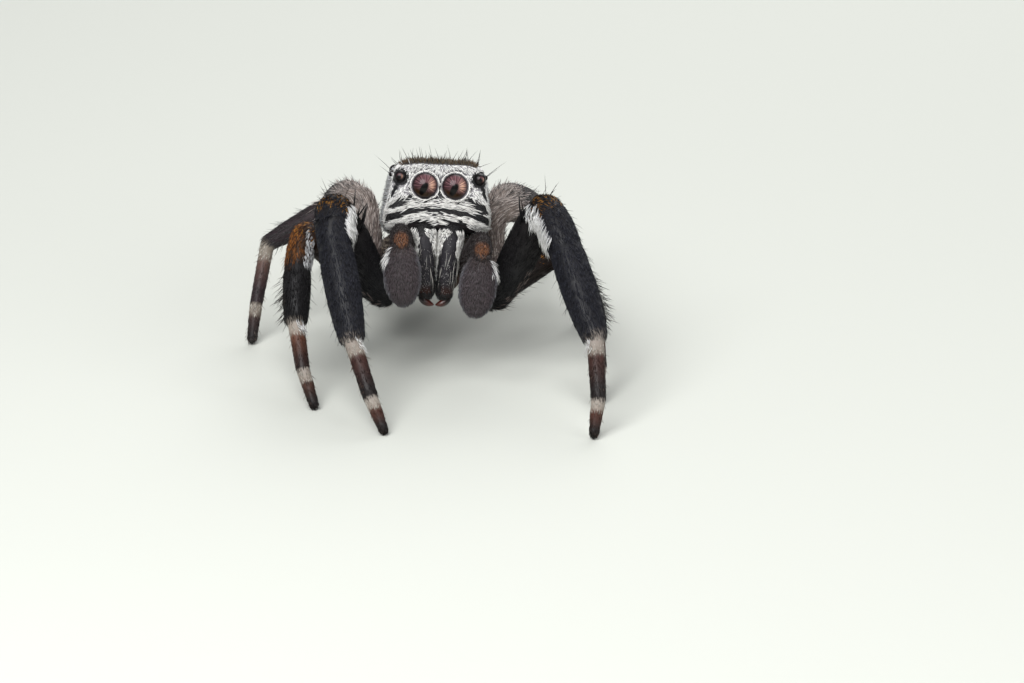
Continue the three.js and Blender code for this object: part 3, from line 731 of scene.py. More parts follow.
def chitin_material(name, roughness, specular, gloss, grain_mm, bump_mm, wrinkle_mm=0.0):
    """Shell coloured by its tint, with a fine scaly grain (Voronoi cells) and a soft unevenness
    of gloss; wrinkle_mm adds level folds, about six times as far apart."""
    material, tree = new_material(name)
    where = node(tree, "ShaderNodeTexCoord")
    tint = node(tree, "ShaderNodeAttribute", attribute_name="tint")
    cells = node(tree, "ShaderNodeTexVoronoi", [("Vector", where, "Object")],
                 Scale=1 / (grain_mm * MM))
    cloud = node(tree, "ShaderNodeTexNoise", [("Vector", where, "Object")],
                 Scale=1 / (0.3 * MM), Detail=3.0)
    height = cells, "Distance"
    if wrinkle_mm:
        # A wave texture has a crest every 0.314 of its space over its scale.
        folds = node(tree, "ShaderNodeTexWave", [("Vector", where, "Object")], bands_direction="Z",
                     Scale=0.05 / (wrinkle_mm * MM), Distortion=5.0, Detail=2.0, Detail_Scale=2.0)
        both = node(tree, "ShaderNodeMath", [(0, cells, "Distance"), (1, folds, "Fac")], operation="ADD")
        height = both, "Value"
    bump = node(tree, "ShaderNodeBump", [("Height", *height)], Strength=0.6, Distance=bump_mm * MM)
    rough = node(tree, "ShaderNodeMapRange", [("Value", cloud, "Fac")],
                 To_Min=roughness * 0.75, To_Max=min(1, roughness * 1.3))
    level = node(tree, "ShaderNodeMapRange", [("Value", cloud, "Fac")], To_Min=0.75, To_Max=1.25)
    colour = node(tree, "ShaderNodeVectorMath", [(0, tint, "Color"), (1, level, "Result")],
                  operation="MULTIPLY")
    shader = node(tree, "ShaderNodeBsdfPrincipled",
                  [("Base Color", colour, "Vector"), ("Roughness", rough, "Result"),
                   ("Normal", bump, "Normal")],
                  IOR=1.56, Specular_IOR_Level=specular, Coat_Weight=gloss, Coat_Roughness=0.2)
    node(tree, "ShaderNodeOutputMaterial", [("Surface", shader, "BSDF")])
    return material


def lens_material():
    """Clear domed cornea over a coloured ground: a sharp clear coat over a soft tinted base."""
    material, tree = new_material("cornea over mauve ground")
    tint = node(tree, "ShaderNodeAttribute", attribute_name="tint")
    shader = node(tree, "ShaderNodeBsdfPrincipled", [("Base Color", tint, "Color")],
                  Roughness=0.4, IOR=1.5, Specular_IOR_Level=0.1,
                  Coat_Weight=0.28, Coat_Roughness=0.03, Coat_IOR=1.5)
    node(tree, "ShaderNodeOutputMaterial", [("Surface", shader, "BSDF")])
    return material


# Scales and hairs of chitin: a matt coat that glints only along its edges. The real ones are
# mostly finer than a hundredth of a millimetre, so they are drawn wider and fewer, to show as hair.
FUR = hair_material("white and brown scale hairs", 0.6, 0.3, 0.001, sheen=0.1)
BRISTLE = hair_material("black chitin bristles", 0.5, 0.2, 0.0005)

# Shells of chitin: dark with little shine, broken up by a grain that is also drawn coarser than
# the real one, and on the jaws by level folds. Fangs and claws have the soft gloss of horn.
SHELL = chitin_material("haired carapace chitin", 0.6, 0.3, 0.02, 0.03, 0.004)
LEG_SHELL = chitin_material("black leg chitin", 0.5, 0.2, 0.02, 0.035, 0.003)
JAW_SHELL = chitin_material("wrinkled jaw chitin", 0.5, 0.18, 0.02, 0.03, 0.007, wrinkle_mm=0.045)
FANG_HORN = chitin_material("red-brown fang horn", 0.35, 0.4, 0.15, 0.2, 0.001)

# Only the lenses look wet: a clear coat that mirrors the lamps faintly over the coloured ground.
LENS = lens_material()

WHITE = linear("#f1efeb")
GREY_WHITE = linear("#cfd0d2")
BLACK = linear("#0d0c0f")
BROWN_BLACK = linear("#1d150f")
OLIVE = linear("#4d401b")
RUST = linear("#885220")
GOLD = linear("#c08a3a")
PINK_GREY = linear("#8c7d77")
# Black hair with a painted blue sheen, for the front legs' patella and tibia.
BLACK_WITH_PAINTED_BLUE_SHEEN = linear("#1f2028")


# ------------------------------------------------------------------ markings of the head

# Dark wedges of one side of the face: start and end as (distance from the middle, height), and
# half width.
FACE_WEDGES = [
    ((0.43, -0.2), (0.89, -0.42), 0.095), ((0.55, 0.04), (0.56, -0.14), 0.02),
    ((0.77, 0.0), (0.92, -0.22), 0.07), ((0.84, -0.52), (1.0, -0.8), 0.05),
    ((0.97, -0.1), (1.1, -0.56), 0.045),
]


def stripe(x, z, start, end, half):
    """1 on a tapering stripe from start to end in the face plane, 0 off it."""
    start, end = np.array(start), np.array(end)
    way = end - start
    t = np.clip(((x - start[0]) * way[0] + (z - start[1]) * way[1]) / (way @ way), 0, 1)
    gap = np.hypot(x - start[0] - t * way[0], z - start[1] - t * way[1])
    reach = half * (0.35 + 0.65 * np.sin(math.pi * np.clip(t, 0.05, 0.95)))
    return 1 - ramp(reach * 0.8, reach * 1.15, gap)


def band_height(p):
    """Height on the face, measured along its hanging bands."""
    return p[..., 2] + BAND_SAG * p[..., 0] ** 2


def face_white(p):
    """How white the face is at head places p. Bands follow the height plus BAND_SAG times the
    square of the distance from the middle, so that they hang down at the sides, and they go on
    round the cheeks, where depth counts as distance. Taken out of the white are the black
    band, the arcs and the line between the big eyes, the wedges beside them, and thin dark
    streaks that run along the lower bands."""
    across = np.abs(p[..., 0])
    x = across + 0.75 * np.maximum(p[..., 1] - 0.1, 0)
    z = p[..., 2]
    flat = z + BAND_SAG * x ** 2
    band = flat + 0.016 * waves(p, 0.16, 3) + 0.014 * waves(p, 0.05, 4)
    edge = -0.6 - 0.1 * (1 - ramp(0.02, 0.11, x)) - 0.09 * ramp(0.42, 0.6, x)
    white = ramp(edge - 0.015, edge + 0.015, band + 0.03 * waves(p, 0.1, 6))
    low, high = -0.49 - 0.09 * x ** 2, -0.37
    dark = ramp(low - 0.006, low + 0.006, band) * (1 - ramp(high - 0.006, high + 0.006, band))
    white = white * (1 - dark)
    streak = waves(np.stack([0.16 * p[..., 0], 0.16 * p[..., 1], flat], axis=-1), 0.055, 8)
    white = white * (1 - ramp(0.4, 0.5, streak) * (1 - ramp(-0.2, -0.12, flat)))
    median, lateral = [EYES[key][0] for key in ("anterior_median", "anterior_lateral")]
    eye = np.hypot(across - median[0], z)
    arc = ramp(0.27, 0.276, eye) * (1 - ramp(0.306, 0.318, eye)) * (1 - 0.4 * ramp(-0.12, -0.04, z))
    middle = (1 - ramp(0.016, 0.026, across)) * ramp(-0.16, -0.12, z) * (1 - ramp(0.08, 0.12, z))
    front = p[..., 1] < 0.3
    white = white * (1 - np.maximum(arc * (1 - ramp(0.42, 0.56, x)), middle) * front)
    for start, end, half in FACE_WEDGES:
        white = white * (1 - stripe(x, z, start, end, half) * (eye > 0.272))
    ring = np.hypot(across - lateral[0], z - lateral[2])
    return white * (1 - (1 - ramp(0.15, 0.162, ring)) * front)


def head_cover(p):
    """Shares of the head's coat: white face and cheeks, and the brown cover of the top."""
    y, z = p[..., 1], p[..., 2]
    crown = read_table(CARAPACE["rows"], 2, np.clip(y, CARAPACE["front"], CARAPACE["rear"])) - COAT_DEPTH
    top = ramp(-0.12, -0.04, z - crown) * ramp(0.1, 0.17, y)
    side_white = (1 - ramp(1.0, 1.9, y)) * (1 - ramp(0.16, 0.4, z)) + 0.55 * (1 - ramp(-0.8, -0.6, z))
    front = 1 - ramp(0.42, 0.75, y)
    white = np.maximum(face_white(p) * front, np.clip(side_white, 0, 0.9) * (1 - front)) * (1 - top)
    return white, top


def head_skin_tint(p):
    """Skin under the coat: near black, greyer where the coat is white, brown on top."""
    white, top = head_cover(p)
    upper = ramp(-0.25, -0.05, band_height(p))
    base = mix(BLACK, linear("#8f8c90"), white * (0.12 + 0.6 * upper))
    base = mix(base, BROWN_BLACK, top)
    rim = 1 - ramp(-0.7, -0.64, band_height(p))
    return mix(base, linear("#241b1e"), rim * (p[..., 1] < 0.3))


# ------------------------------------------------------------------ carapace

def carapace_surface():
    """The head shell, with low collars pushed out round the four front eyes: a bell-shaped ring
    as wide as the lens and its scales. Soft noise keeps it from looking turned."""
    flat = facing_out(rounded_body(CARAPACE, COAT_DEPTH, 300, 288))
    push = 0
    for key in ("anterior_median", "anterior_lateral"):
        at, _, ring, _ = EYES[key]
        for side in (1, -1):
            gap = np.linalg.norm(flat.points - mirrored(at, side), axis=-1)
            push = push + 0.09 * ring * np.exp(-((gap - ring * 1.07) / (0.11 * ring)) ** 2)
    points = flat.points + flat.normal * push[..., None]
    points = points + flat.normal * (0.006 * waves(points, 0.5, 5))[..., None]
    return Surface(points, flat.outward)


def cell_middles(surface):
    """Where each cell of a surface lies."""
    return (surface.points[:-1] + surface.points[1:]) / 2


def face_lie(p):
    """Which way a scale lies on the head, in head axes: out and down along the stripes on the
    lower face, down and out above the eyes, round each big eye close to it, and backwards on
    the sides."""
    side = np.where(p[..., 0] >= 0, 1.0, -1.0)
    x, y, z = np.abs(p[..., 0]), p[..., 1], p[..., 2]
    none = np.zeros_like(x)
    band = unit(np.stack([side, 0.15 + none, -0.08 - 0.45 * x], axis=-1))
    down = unit(np.stack([side * (0.2 + 0.55 * x), none, none - 1], axis=-1))
    back = np.stack([none, none + 1, none - 0.15], axis=-1)
    lie = mix(band, down, ramp(-0.26, -0.05, band_height(p)))
    aside = x - EYES["anterior_median"][0][0]
    eye = np.maximum(np.hypot(aside, z), 1e-6)
    swirl = np.stack([side * np.abs(z), none, -aside * np.sign(z)], axis=-1) / eye[..., None]
    lie = mix(lie, swirl, (1 - ramp(0.27, 0.38, eye)) * 0.6)
    return unit(mix(unit(lie), back, ramp(0.35, 0.7, y)))


def eye_gap(p):
    """Distance outside the nearest eye's ring of scales, in head axes."""
    gaps = [np.linalg.norm(p - mirrored(at, side), axis=-1) - ring
            for at, _, ring, _ in EYES.values() for side in (1, -1)]
    return np.min(gaps, axis=0)


def to_part(made):
    """Turns hairs worked out in head axes to the part's axes."""
    made["points"] = in_head(made["points"])
    return made


def ring_roots(surface, at, side, radius, count, seed):
    """Roots on a circle round an eye: the grid point that is nearest to each place on it when
    seen along the eye's axis."""
    rng = np.random.default_rng(seed)
    angle = np.sort(rng.uniform(0, 2 * math.pi, count))
    centre = mirrored(at, side)
    flat, normals = surface.points.reshape(-1, 3), surface.normal.reshape(-1, 3)
    index = np.flatnonzero(np.abs(flat - centre).max(1) < radius * 2)
    gaze = unit(normals[index].mean(0))
    if at[1] < 0.1:
        gaze = np.array([0, -1.0, 0])
    u = unit(np.cross(gaze, [0, 0, 1]))
    v = np.cross(u, gaze)
    ray = u * np.cos(angle)[:, None] + v * np.sin(angle)[:, None]
    gap = flat[index][None] - (centre + ray * radius)[:, None]
    depth = np.sum(gap * gaze, axis=-1, keepdims=True)
    best = index[np.argmin(np.linalg.norm(gap - depth * gaze, axis=-1), axis=1)]
    columns = surface.points.shape[1]
    roots = Roots(surface, (best // columns).astype(float), (best % columns).astype(float), rng)
    roots.normal = unit(gaze + 0.35 * ray)
    roots.along, roots.around = np.cross(gaze, ray), ray
    return roots


def face_coat(surface):
    """A dense cover of lance-shaped scales, long on the bands and short round the eyes: white
    with thin dark threads among them, or black and sparse. Then a ring of scales round each
    front eye, bright round the big ones and dark round the two beside them."""
    middles = cell_middles(surface)
    front = 1 - ramp(0.5, 0.85, middles[..., 1])
    roots = scatter(surface, FACE_DENSITY * front * (middles[..., 2] > -0.86), seed=11)
    rng = roots.rng
    strand = roots.at + rng.normal(0, 1, roots.at.shape) * [0.008, 0, 0.014]
    white, top = head_cover(strand)
    pick = rng.uniform(size=len(roots))
    upper = ramp(-0.22, -0.05, band_height(roots.at))
    pale = (white > 0.5) & (pick >= 0.05 + 0.09 * (upper > 0.5))
    thread = (white > 0.5) & ~pale
    thinned = (pale & (upper < 0.5) & (pick > 0.85)) | (~pale & (pick >= 0.5))
    keep = (eye_gap(roots.at) > 0.008) & (top < 0.5) & ~thinned
    roots.only(keep)
    pale, upper, thread, count = pale[keep], upper[keep], thread[keep], len(roots)
    crossing = rng.normal(0, 0.03, (count, 3)) * (1 + 2 * (upper < 0.5))[:, None] * [1, 0, 0]
    lie = unit(face_lie(roots.at + crossing) + rng.normal(0, 0.1, (count, 3)))
    near_eye = ramp(0.0, 0.1, eye_gap(roots.at))
    length = np.where(pale | thread, 0.17 - 0.085 * upper, 0.06) * (0.45 + 0.55 * near_eye)
    length = length * rng.uniform(0.7, 1.3, count)
    width = np.where(pale, 0.0125 + 0.002 * upper, np.where(thread, 0.008, 0.011))
    width = width * rng.uniform(0.8, 1.2, count)
    lift = np.radians(rng.uniform(8, 20, count) + 4 * thread)
    made = hairs(roots, lie, length, width, lift, 0.12, flat=0.45)
    tint = either(pale, mix(WHITE, GREY_WHITE, upper * 0.3), BLACK) * shades(count, rng, 0.12)
    batches = [shaded(to_part(made), tint, 0.8, 0.95, 0.97)]
    for key, amount, colour, size in (("anterior_median", 420, WHITE, 0.075),
                                      ("anterior_lateral", 140, BLACK, 0.05)):
        at, _, ring, _ = EYES[key]
        for side in (1, -1):
            spots = ring_roots(surface, at, side, ring, amount, seed=21 + side)
            turned = np.where(spots.rng.uniform(size=amount) < 0.5, 1, -1)[:, None]
            way = spots.along * turned + 0.1 * spots.around
            length = size * spots.rng.uniform(0.8, 1.2, amount)
            made = hairs(spots, way, length, 0.0115, math.radians(12), 0.1, flat=0.7)
            batches.append(shaded(to_part(made), colour, 0.85))
    return dressed(coat_mesh("face_scales", batches), FUR, "carapace")


def crown_coat(surface):
    """Longer, softer hairs that lie backwards on the crown and sides: olive, rusty and brown on
    top, pale on the cheeks, and a ragged upright fringe along the front edge."""
    middles = cell_middles(surface)
    depth, height = middles[..., 1], middles[..., 2]
    behind = ramp(0.35, 0.7, depth) + ramp(0.33, 0.39, height) * ramp(0.1, 0.16, depth)
    roots = scatter(surface, CROWN_DENSITY * np.clip(behind, 0, 1), seed=12)
    roots.only(eye_gap(roots.at) > 0.012)
    rng, count = roots.rng, len(roots)
    x, y, z = roots.at.T
    white, top = head_cover(roots.at)
    pick = rng.uniform(size=count)
    tint = either(pick < 0.5, OLIVE * 0.8, either(pick < 0.6, RUST * 0.4, BROWN_BLACK))
    tint = tint * (1 - 0.5 * ramp(1.2, 1.9, y))[:, None]
    corner = ramp(0.5, 0.7, np.abs(x)) * top * (1 - ramp(0.3, 0.6, y))
    tint = mix(tint, RUST, corner * 0.4)
    edge = ramp(0.3, 0.38, z) * (1 - ramp(0.25, 0.5, y))
    white = white * (1 - ramp(0.34, 0.42, z)) * (1 - edge)
    tint = mix(tint, mix(OLIVE, RUST, 0.2) * 0.6, 0.6 * edge)
    tint = either(rng.uniform(size=count) < white * 1.1, GREY_WHITE * 0.9, tint) * shades(count, rng)
    lie = unit(np.array([0, 1.0, -0.1]) + rng.normal(0, 0.2, (count, 3)))
    cheek = ramp(0.35, 0.6, y) * (1 - ramp(1.5, 1.9, y)) * (1 - ramp(0.1, 0.3, z))
    length = rng.uniform(0.08, 0.15, count) * (1 + (0.9 * pick - 0.45) * edge + 0.35 * cheek)
    lift = np.radians(rng.uniform(12, 28, count) + 40 * edge + 12 * cheek)
    width = rng.uniform(0.011, 0.018, count) * (1 - 0.4 * edge)
    made = hairs(roots, lie, length, width, lift, 0.12, flat=0.5, steps=(0.0, 0.45))
    crown = coat_mesh("crown_hairs", [shaded(to_part(made), tint, 0.75, 0.9, 0.9)])
    return dressed(crown, FUR, "carapace")


def head_bristles(surface):
    """Thin black bristles: upright all over the crown, a row of fifteen along its front edge,
    and two long ones beside each outer front eye."""
    middles = cell_middles(surface)
    depth, height = middles[..., 1], middles[..., 2]
    batches = []

    def bristle(roots, lie, length, width, lift, bend):
        """Adds one group of bristles, thin and black from root to tip."""
        made = hairs(roots, lie, length, width, lift, bend, steps=BRISTLE_RINGS, swell=0)
        batches.append((to_part(made), BLACK, BLACK))

    roots = scatter(surface, 12 * ramp(0.3, 0.36, height) * ramp(0.3, 0.4, depth), seed=13)
    roots.only(eye_gap(roots.at) > 0.02)
    rng, count = roots.rng, len(roots)
    out = np.stack([0.5 * roots.at[:, 0], 0.3 * roots.at[:, 1] - 0.25, np.full(count, 0.3)], -1)
    lie = unit(out + rng.normal(0, 0.25, (count, 3)))
    length = rng.uniform(0.16, 0.4, count) * (1 - 0.35 * ramp(1.0, 2.2, roots.at[:, 1]))
    bristle(roots, lie, length, 0.011, np.radians(rng.uniform(55, 85, count)), 0.12)

    edge = (height > 0.36) * (depth < 0.34) * (depth > 0.1)
    roots = scatter(surface, 900 * edge, seed=15)
    across = np.linspace(-0.8, 0.78, 15) + roots.rng.normal(0, 0.02, 15)
    roots.only(np.array([int(np.argmin(np.abs(roots.at[:, 0] - x))) for x in across]))
    rng, count = roots.rng, len(roots)
    out = 0.5 * roots.at[:, 0] + rng.normal(0, 0.12, count)
    lie = unit(np.stack([out, np.full(count, -0.2), np.ones(count)], -1))
    length = rng.uniform(0.26, 0.4, count)
    bristle(roots, lie, length, 0.015, np.radians(rng.uniform(60, 84, count)), 0.1)

    cheek = (np.abs(height - 0.2) < 0.1) * (depth < 0.5)
    for side in (1, -1):
        roots = scatter(surface, 300 * cheek, seed=14)
        gap = np.linalg.norm(roots.at - [0.9 * side, 0.3, 0.2], axis=1)
        roots.only(np.argsort(gap)[:2])
        bristle(roots, np.array([0, -0.2, 1.0]), np.array([0.46, 0.3]), 0.014, math.radians(62), -0.15)
    return dressed(coat_mesh("head_bristles", batches), BRISTLE, "carapace")


def make_carapace():
    """The head's shell under its face scales, crown hairs and bristles."""
    surface = carapace_surface()
    shell = surface_mesh("carapace_skin", moved_to_part(surface), head_skin_tint(surface.points))
    return [dressed(shell, SHELL, "carapace", "carapace"), face_coat(surface), crown_coat(surface),
            head_bristles(surface)]


# ------------------------------------------------------------------ eyes

def eye_tint(local, kind):
    """Colour of the ground seen through a lens, at unit places local (x across, y gaze, z up):
    a dark rim, mauve with radial streaks that is lighter towards the top and the right as painted
    light, a painted peach highlight on the right side, an olive lower part and a dark oval pupil."""
    x, z = local[..., 0], local[..., 2]
    r = np.hypot(x, z)
    angle = np.arctan2(z, x)
    front = ramp(0.1, 0.3, -local[..., 1])
    rng = np.random.default_rng(5)
    streak = sum(np.sin(angle * n + rng.uniform(0, 6.3)) for n in (17, 29, 41, 55)) / 4
    # Lighter towards the top and the right: painted light, added to the real radial streaks.
    light = np.clip(0.33 + 0.3 * z + 0.2 * x + 0.95 * streak * ramp(0.15, 0.5, r), 0, 1)
    mauve = mix(linear("#28171b"), linear("#785459"), light)
    # A peach patch right of the middle: a painted highlight.
    painted_highlight = np.exp(-((x - 0.5) / 0.22) ** 2 - ((z - 0.06) / 0.36) ** 2)
    mauve = mix(mauve, linear("#dcae94"), np.clip(painted_highlight * (0.6 + 1.1 * streak), 0, 1))
    ground = mix(mauve, linear("#2c1b08"), ramp(0.22, 0.62, -z - 0.25 * x + 0.2 * streak))
    ground = mix(ground, linear("#14070d"), ramp(0.74, 0.9, r + 0.03 * streak))
    if kind == "anterior_median":
        down = np.where(z < -0.12, 0.6, 0.38)
        pupil = np.hypot((x + 0.07 - 0.35 * (z + 0.12)) / 0.28, (z + 0.12) / down)
        ground = mix(linear("#040303"), ground, ramp(0.82, 1.1, pupil + 0.08 * streak))
    elif kind == "anterior_lateral":
        pupil = np.hypot((x + 0.1) / 0.34, (z + 0.12) / 0.34)
        ground = mix(ground * 0.7, linear("#0c080a"), ramp(0.38, 0.56, r))
        ground = mix(linear("#040303"), ground, ramp(0.8, 1.1, pupil))
    else:
        ground = mix(linear("#33292b"), linear("#0e090b"), ramp(0.2, 0.6, r))
    return mix(linear("#100a0c"), ground, front)


def make_eyes():
    """Each lens is a sphere of rings round its own gaze."""
    pieces = []
    for key, (_, lens, _, gaze) in EYES.items():
        rings, columns = (56, 176) if key == "anterior_median" else (32, 72)
        polar = np.linspace(0.01, math.pi - 0.01, rings)[:, None]
        angle = np.linspace(0, 2 * math.pi, columns, endpoint=False)[None, :]
        local = np.stack([np.sin(polar) * np.cos(angle), -np.cos(polar) + 0 * angle,
                          np.sin(polar) * np.sin(angle)], -1)
        tint = eye_tint(local, key)
        for name, side in SIDES:
            aim = turn("z", math.radians(gaze[0] * side)) @ turn("x", math.radians(-gaze[1]))
            centre = node_middle(f"eye_{key}_{name}") - SHIFT
            points = centre + (local * lens) @ (HEAD @ aim).T
            eye = surface_mesh(f"eye_{key}_{name}_lens", facing_out(points), tint)
            pieces.append(dressed(eye, LENS, "eye_lens", f"eye_{key}_{name}"))
    return pieces


# ------------------------------------------------------------------ mouthparts

def pod_surface(shape, side, inset, rows, columns):
    """A mouthpart's pod of the left (1) or right (-1) side, in head axes."""
    return facing_out(pod(mirrored(shape["start"], side), mirrored(shape["end"], side), shape["wide"],
                          shape["deep"], shape["power"], inset, rows, columns))


def jaw_coat(surface, name, side):
    """Hair of one jaw. White hair makes half of the V between the jaws, whose arms reach outwards
    over a bare oval, and two bands down the outer side. Sparse fine hair covers the lower front,
    black hair on the inner face and low in the middle fills the slit between the jaws, real hair
    made black as painted shade of the slit, and single long pale hairs hang down the front."""
    roots = scatter(surface, JAW_DENSITY, seed=31 + side)
    pick = roots.rng.uniform(size=len(roots))
    x, z = roots.at[:, 0] * side, roots.at[:, 2] + 0.02 * waves(roots.at, 0.08, 9)
    climb = np.clip((z + 1.68) / 0.84, 0, 1)
    arm = (x < 0.018 + 0.05 * climb + 0.2 * climb ** 5) & (z < -0.76) & (z > -1.68)
    arm = arm & (np.hypot((x - 0.19) / 0.09, (z + 1.09) / 0.16) > 1)
    ragged = 0.05 * waves(roots.at, 0.12, 4)
    outer = (x > 0.34 + 0.5 * ragged) & (x < 0.5) & (z > -1.17 - 0.3 * (x - 0.3) + ragged) & (z < -0.76)
    outer = outer & (np.abs(x - 0.43) > 0.01)
    white = (arm | outer) & (pick < 0.95)
    fine = ~white & (pick < 0.1 + 0.4 * ramp(-1.1, -1.45, z)) & (z > -1.93) & (z < -0.9)
    # Black hair on the inner face and low between the jaws: painted shade that fills the slit.
    slit = (roots.normal @ np.array([-side, 0.0, 0.0]) > 0.8) & ~arm & (z < -1.0)
    inside = slit | (~white & (z > -0.9)) | ((x < 0.1) & (z < -1.72)) | (z < -1.93)
    keep = ((white | fine) & (roots.at[:, 1] < 0.14)) | inside
    roots.only(keep)
    white, x, inside = white[keep] & ~inside[keep], x[keep], inside[keep]
    rng, count, height = roots.rng, len(roots), roots.at[:, 2]
    aside = side * np.where(x < 0.27, -0.25 - 0.35 * (height > -0.95), 0.1)
    lie = unit(np.stack([aside, 0 * x, -1 + 0 * x], -1) + rng.normal(0, 0.12, (count, 3)))
    short = (x > 0.08) & (x < 0.3) & (height > -1.0)
    length = np.where(white, np.where(short, 0.085, 0.14), np.where(inside, 0.07, 0.036))
    length = length * rng.uniform(0.7, 1.2, count)
    width = np.where(white, 0.0125, 0.011)
    lift = np.radians(np.where(inside & (height < -0.95), 40, rng.uniform(8, 22, count)))
    made = hairs(roots, lie, length, width, lift, 0.12, flat=0.45, steps=SHORT_RINGS)
    tint = either(white, WHITE, either(inside, BLACK, linear("#9c9997"))) * shades(count, rng, 0.1)
    batches = [shaded(to_part(made), tint, 0.8, None, 0.95)]

    roots = scatter(surface, 60, seed=35 + side)
    roots.only((roots.at[:, 1] < 0.12) & (roots.at[:, 2] < -1.0) & (roots.at[:, 2] > -1.7))
    rng, count = roots.rng, len(roots)
    lie = unit(np.array([-0.12 * side, 0, -1]) + rng.normal(0, 0.12, (count, 3)))
    length, lift = rng.uniform(0.2, 0.36, count), np.radians(rng.uniform(5, 14, count))
    made = hairs(roots, lie, length, 0.011, lift, 0.1, swell=0)
    batches.append((to_part(made), linear("#8f8c86"), linear("#d5d2cb")))
    return dressed(coat_mesh(f"chelicera_{name}_hairs", batches), FUR, "chelicera")


def make_mouth():
    """Chelicerae with their white hair, fangs and maxillae."""
    pieces = []
    for name, side in SIDES:
        surface = pod_surface(CHELICERA, side, 0.0, 120, 72)
        height = surface.points[..., 2]
        tint = mix(linear("#242226"), linear("#2a130e"), ramp(-1.75, -1.95, height))
        tint = mix(tint, linear("#0b0809"), ramp(-0.92, -0.82, height))
        jaw = surface_mesh(f"chelicera_{name}_shell", moved_to_part(surface), tint)
        pieces.append(dressed(jaw, JAW_SHELL, "chelicera", f"chelicera_{name}"))
        pieces.append(jaw_coat(surface, name, side))

        # The fangs hang in one shallow arc, sagging most halfway along, and thin towards the tip.
        surface = pod_surface(dict(FANG, wide=FANG_SKIN_WIDE), side, 0.006, 48, 32)
        share = np.clip(np.abs(surface.points[..., 0]) / FANG["start"][0], 0, 1)
        surface.points[..., 2] -= 0.03 * np.sin(math.pi * share)
        tint = mix(linear("#43160a"), linear("#120706"), ramp(0.3, 0.8, share))
        fang = surface_mesh(f"fang_{name}_horn", moved_to_part(surface), tint)
        pieces.append(dressed(fang, FANG_HORN, "fang", f"fang_{name}"))

        surface = pod_surface(MAXILLA, side, 0.02, 60, 40)
        maxilla = surface_mesh(f"maxilla_{name}_shell", moved_to_part(surface), linear("#3a2c24"))
        pieces.append(dressed(maxilla, SHELL, "underside", f"maxilla_{name}"))
    return pieces


# ------------------------------------------------------------------ abdomen and underside

ABDOMEN_TURN = turn("z", ABDOMEN_YAW) @ turn("x", ABDOMEN_PITCH)


def abdomen_in_head(p):
    """Abdomen axes to head axes."""
    return p @ ABDOMEN_TURN.T + np.array(ABDOMEN_AT)


def abdomen_marks(p):
    """Brown mottled back with a pale front band, pale slanting flecks in pairs and grey sides."""
    x, y, z = np.abs(p[..., 0]), p[..., 1], p[..., 2]
    mottle = waves(p, 0.35, 8)
    back = mix(linear("#3b2a18"), linear("#6b4c2a"), np.clip(0.5 + 0.5 * mottle, 0, 1))
    flecks = 0
    for at in (0.95, 1.45, 1.95, 2.35):
        gap = np.abs(y - at - 0.35 * (x - 0.25)) / 0.07
        fleck = (1 - ramp(0.6, 1.2, gap)) * ramp(0.12, 0.2, x) * (1 - ramp(0.45, 0.6, x))
        flecks = np.maximum(flecks, fleck)
    front = (1 - ramp(0.3, 0.5, y + 0.05 * mottle)) * ramp(-0.25, 0.1, z)
    sides = 1 - ramp(-0.25, 0.2, z + 0.12 * mottle)
    tint = mix(back, linear("#a8957c"), np.clip(np.maximum(flecks * 0.8, front * 0.8), 0, 1) * (z > 0))
    dark = (1 - ramp(0.05, 0.14, np.abs(x - 0.3 * (y > 0.6)))) * ramp(0.6, 0.9, y)
    tint = mix(tint, linear("#1f150d"), dark * 0.5 * (z > 0.2))
    tint = mix(tint, linear("#8f8779"), sides * 0.8)
    return mix(tint, linear("#4c443b"), 1 - ramp(-0.6, -0.45, z))


BACKWARDS = np.array([0, 1.0, 0])


def abdomen_coat(surface):
    """Short brown hair that lies backwards, with single black bristles. The hairs are worked out
    in the abdomen's own axes and then turned to the part's."""
    roots = scatter(surface, ABDOMEN_DENSITY, seed=41)
    rng, count = roots.rng, len(roots)
    tint = abdomen_marks(roots.at) * shades(count, rng, 0.25)
    lie = unit(BACKWARDS + rng.normal(0, 0.17, (count, 3)))
    length, width = rng.uniform(0.09, 0.16, count), rng.uniform(0.018, 0.028, count)
    made = hairs(roots, lie, length, width, np.radians(rng.uniform(8, 24, count)), 0.15, flat=0.35)
    roots = scatter(surface, 9, seed=42)
    rng, count = roots.rng, len(roots)
    lie = unit(BACKWARDS + rng.normal(0, 0.2, (count, 3)))
    length, lift = rng.uniform(0.2, 0.34, count), np.radians(rng.uniform(35, 60, count))
    bristles = hairs(roots, lie, length, 0.013, lift, 0.25, swell=0)
    for group in (made, bristles):
        group["points"] = in_head(abdomen_in_head(group["points"]))
    batches = [(made, np.clip(tint * 0.8, 0, 0.9), np.clip(tint * 1.15, 0, 0.9)),
               (bristles, BLACK, BLACK)]
    return dressed(coat_mesh("abdomen_coat", batches), FUR, "abdomen")


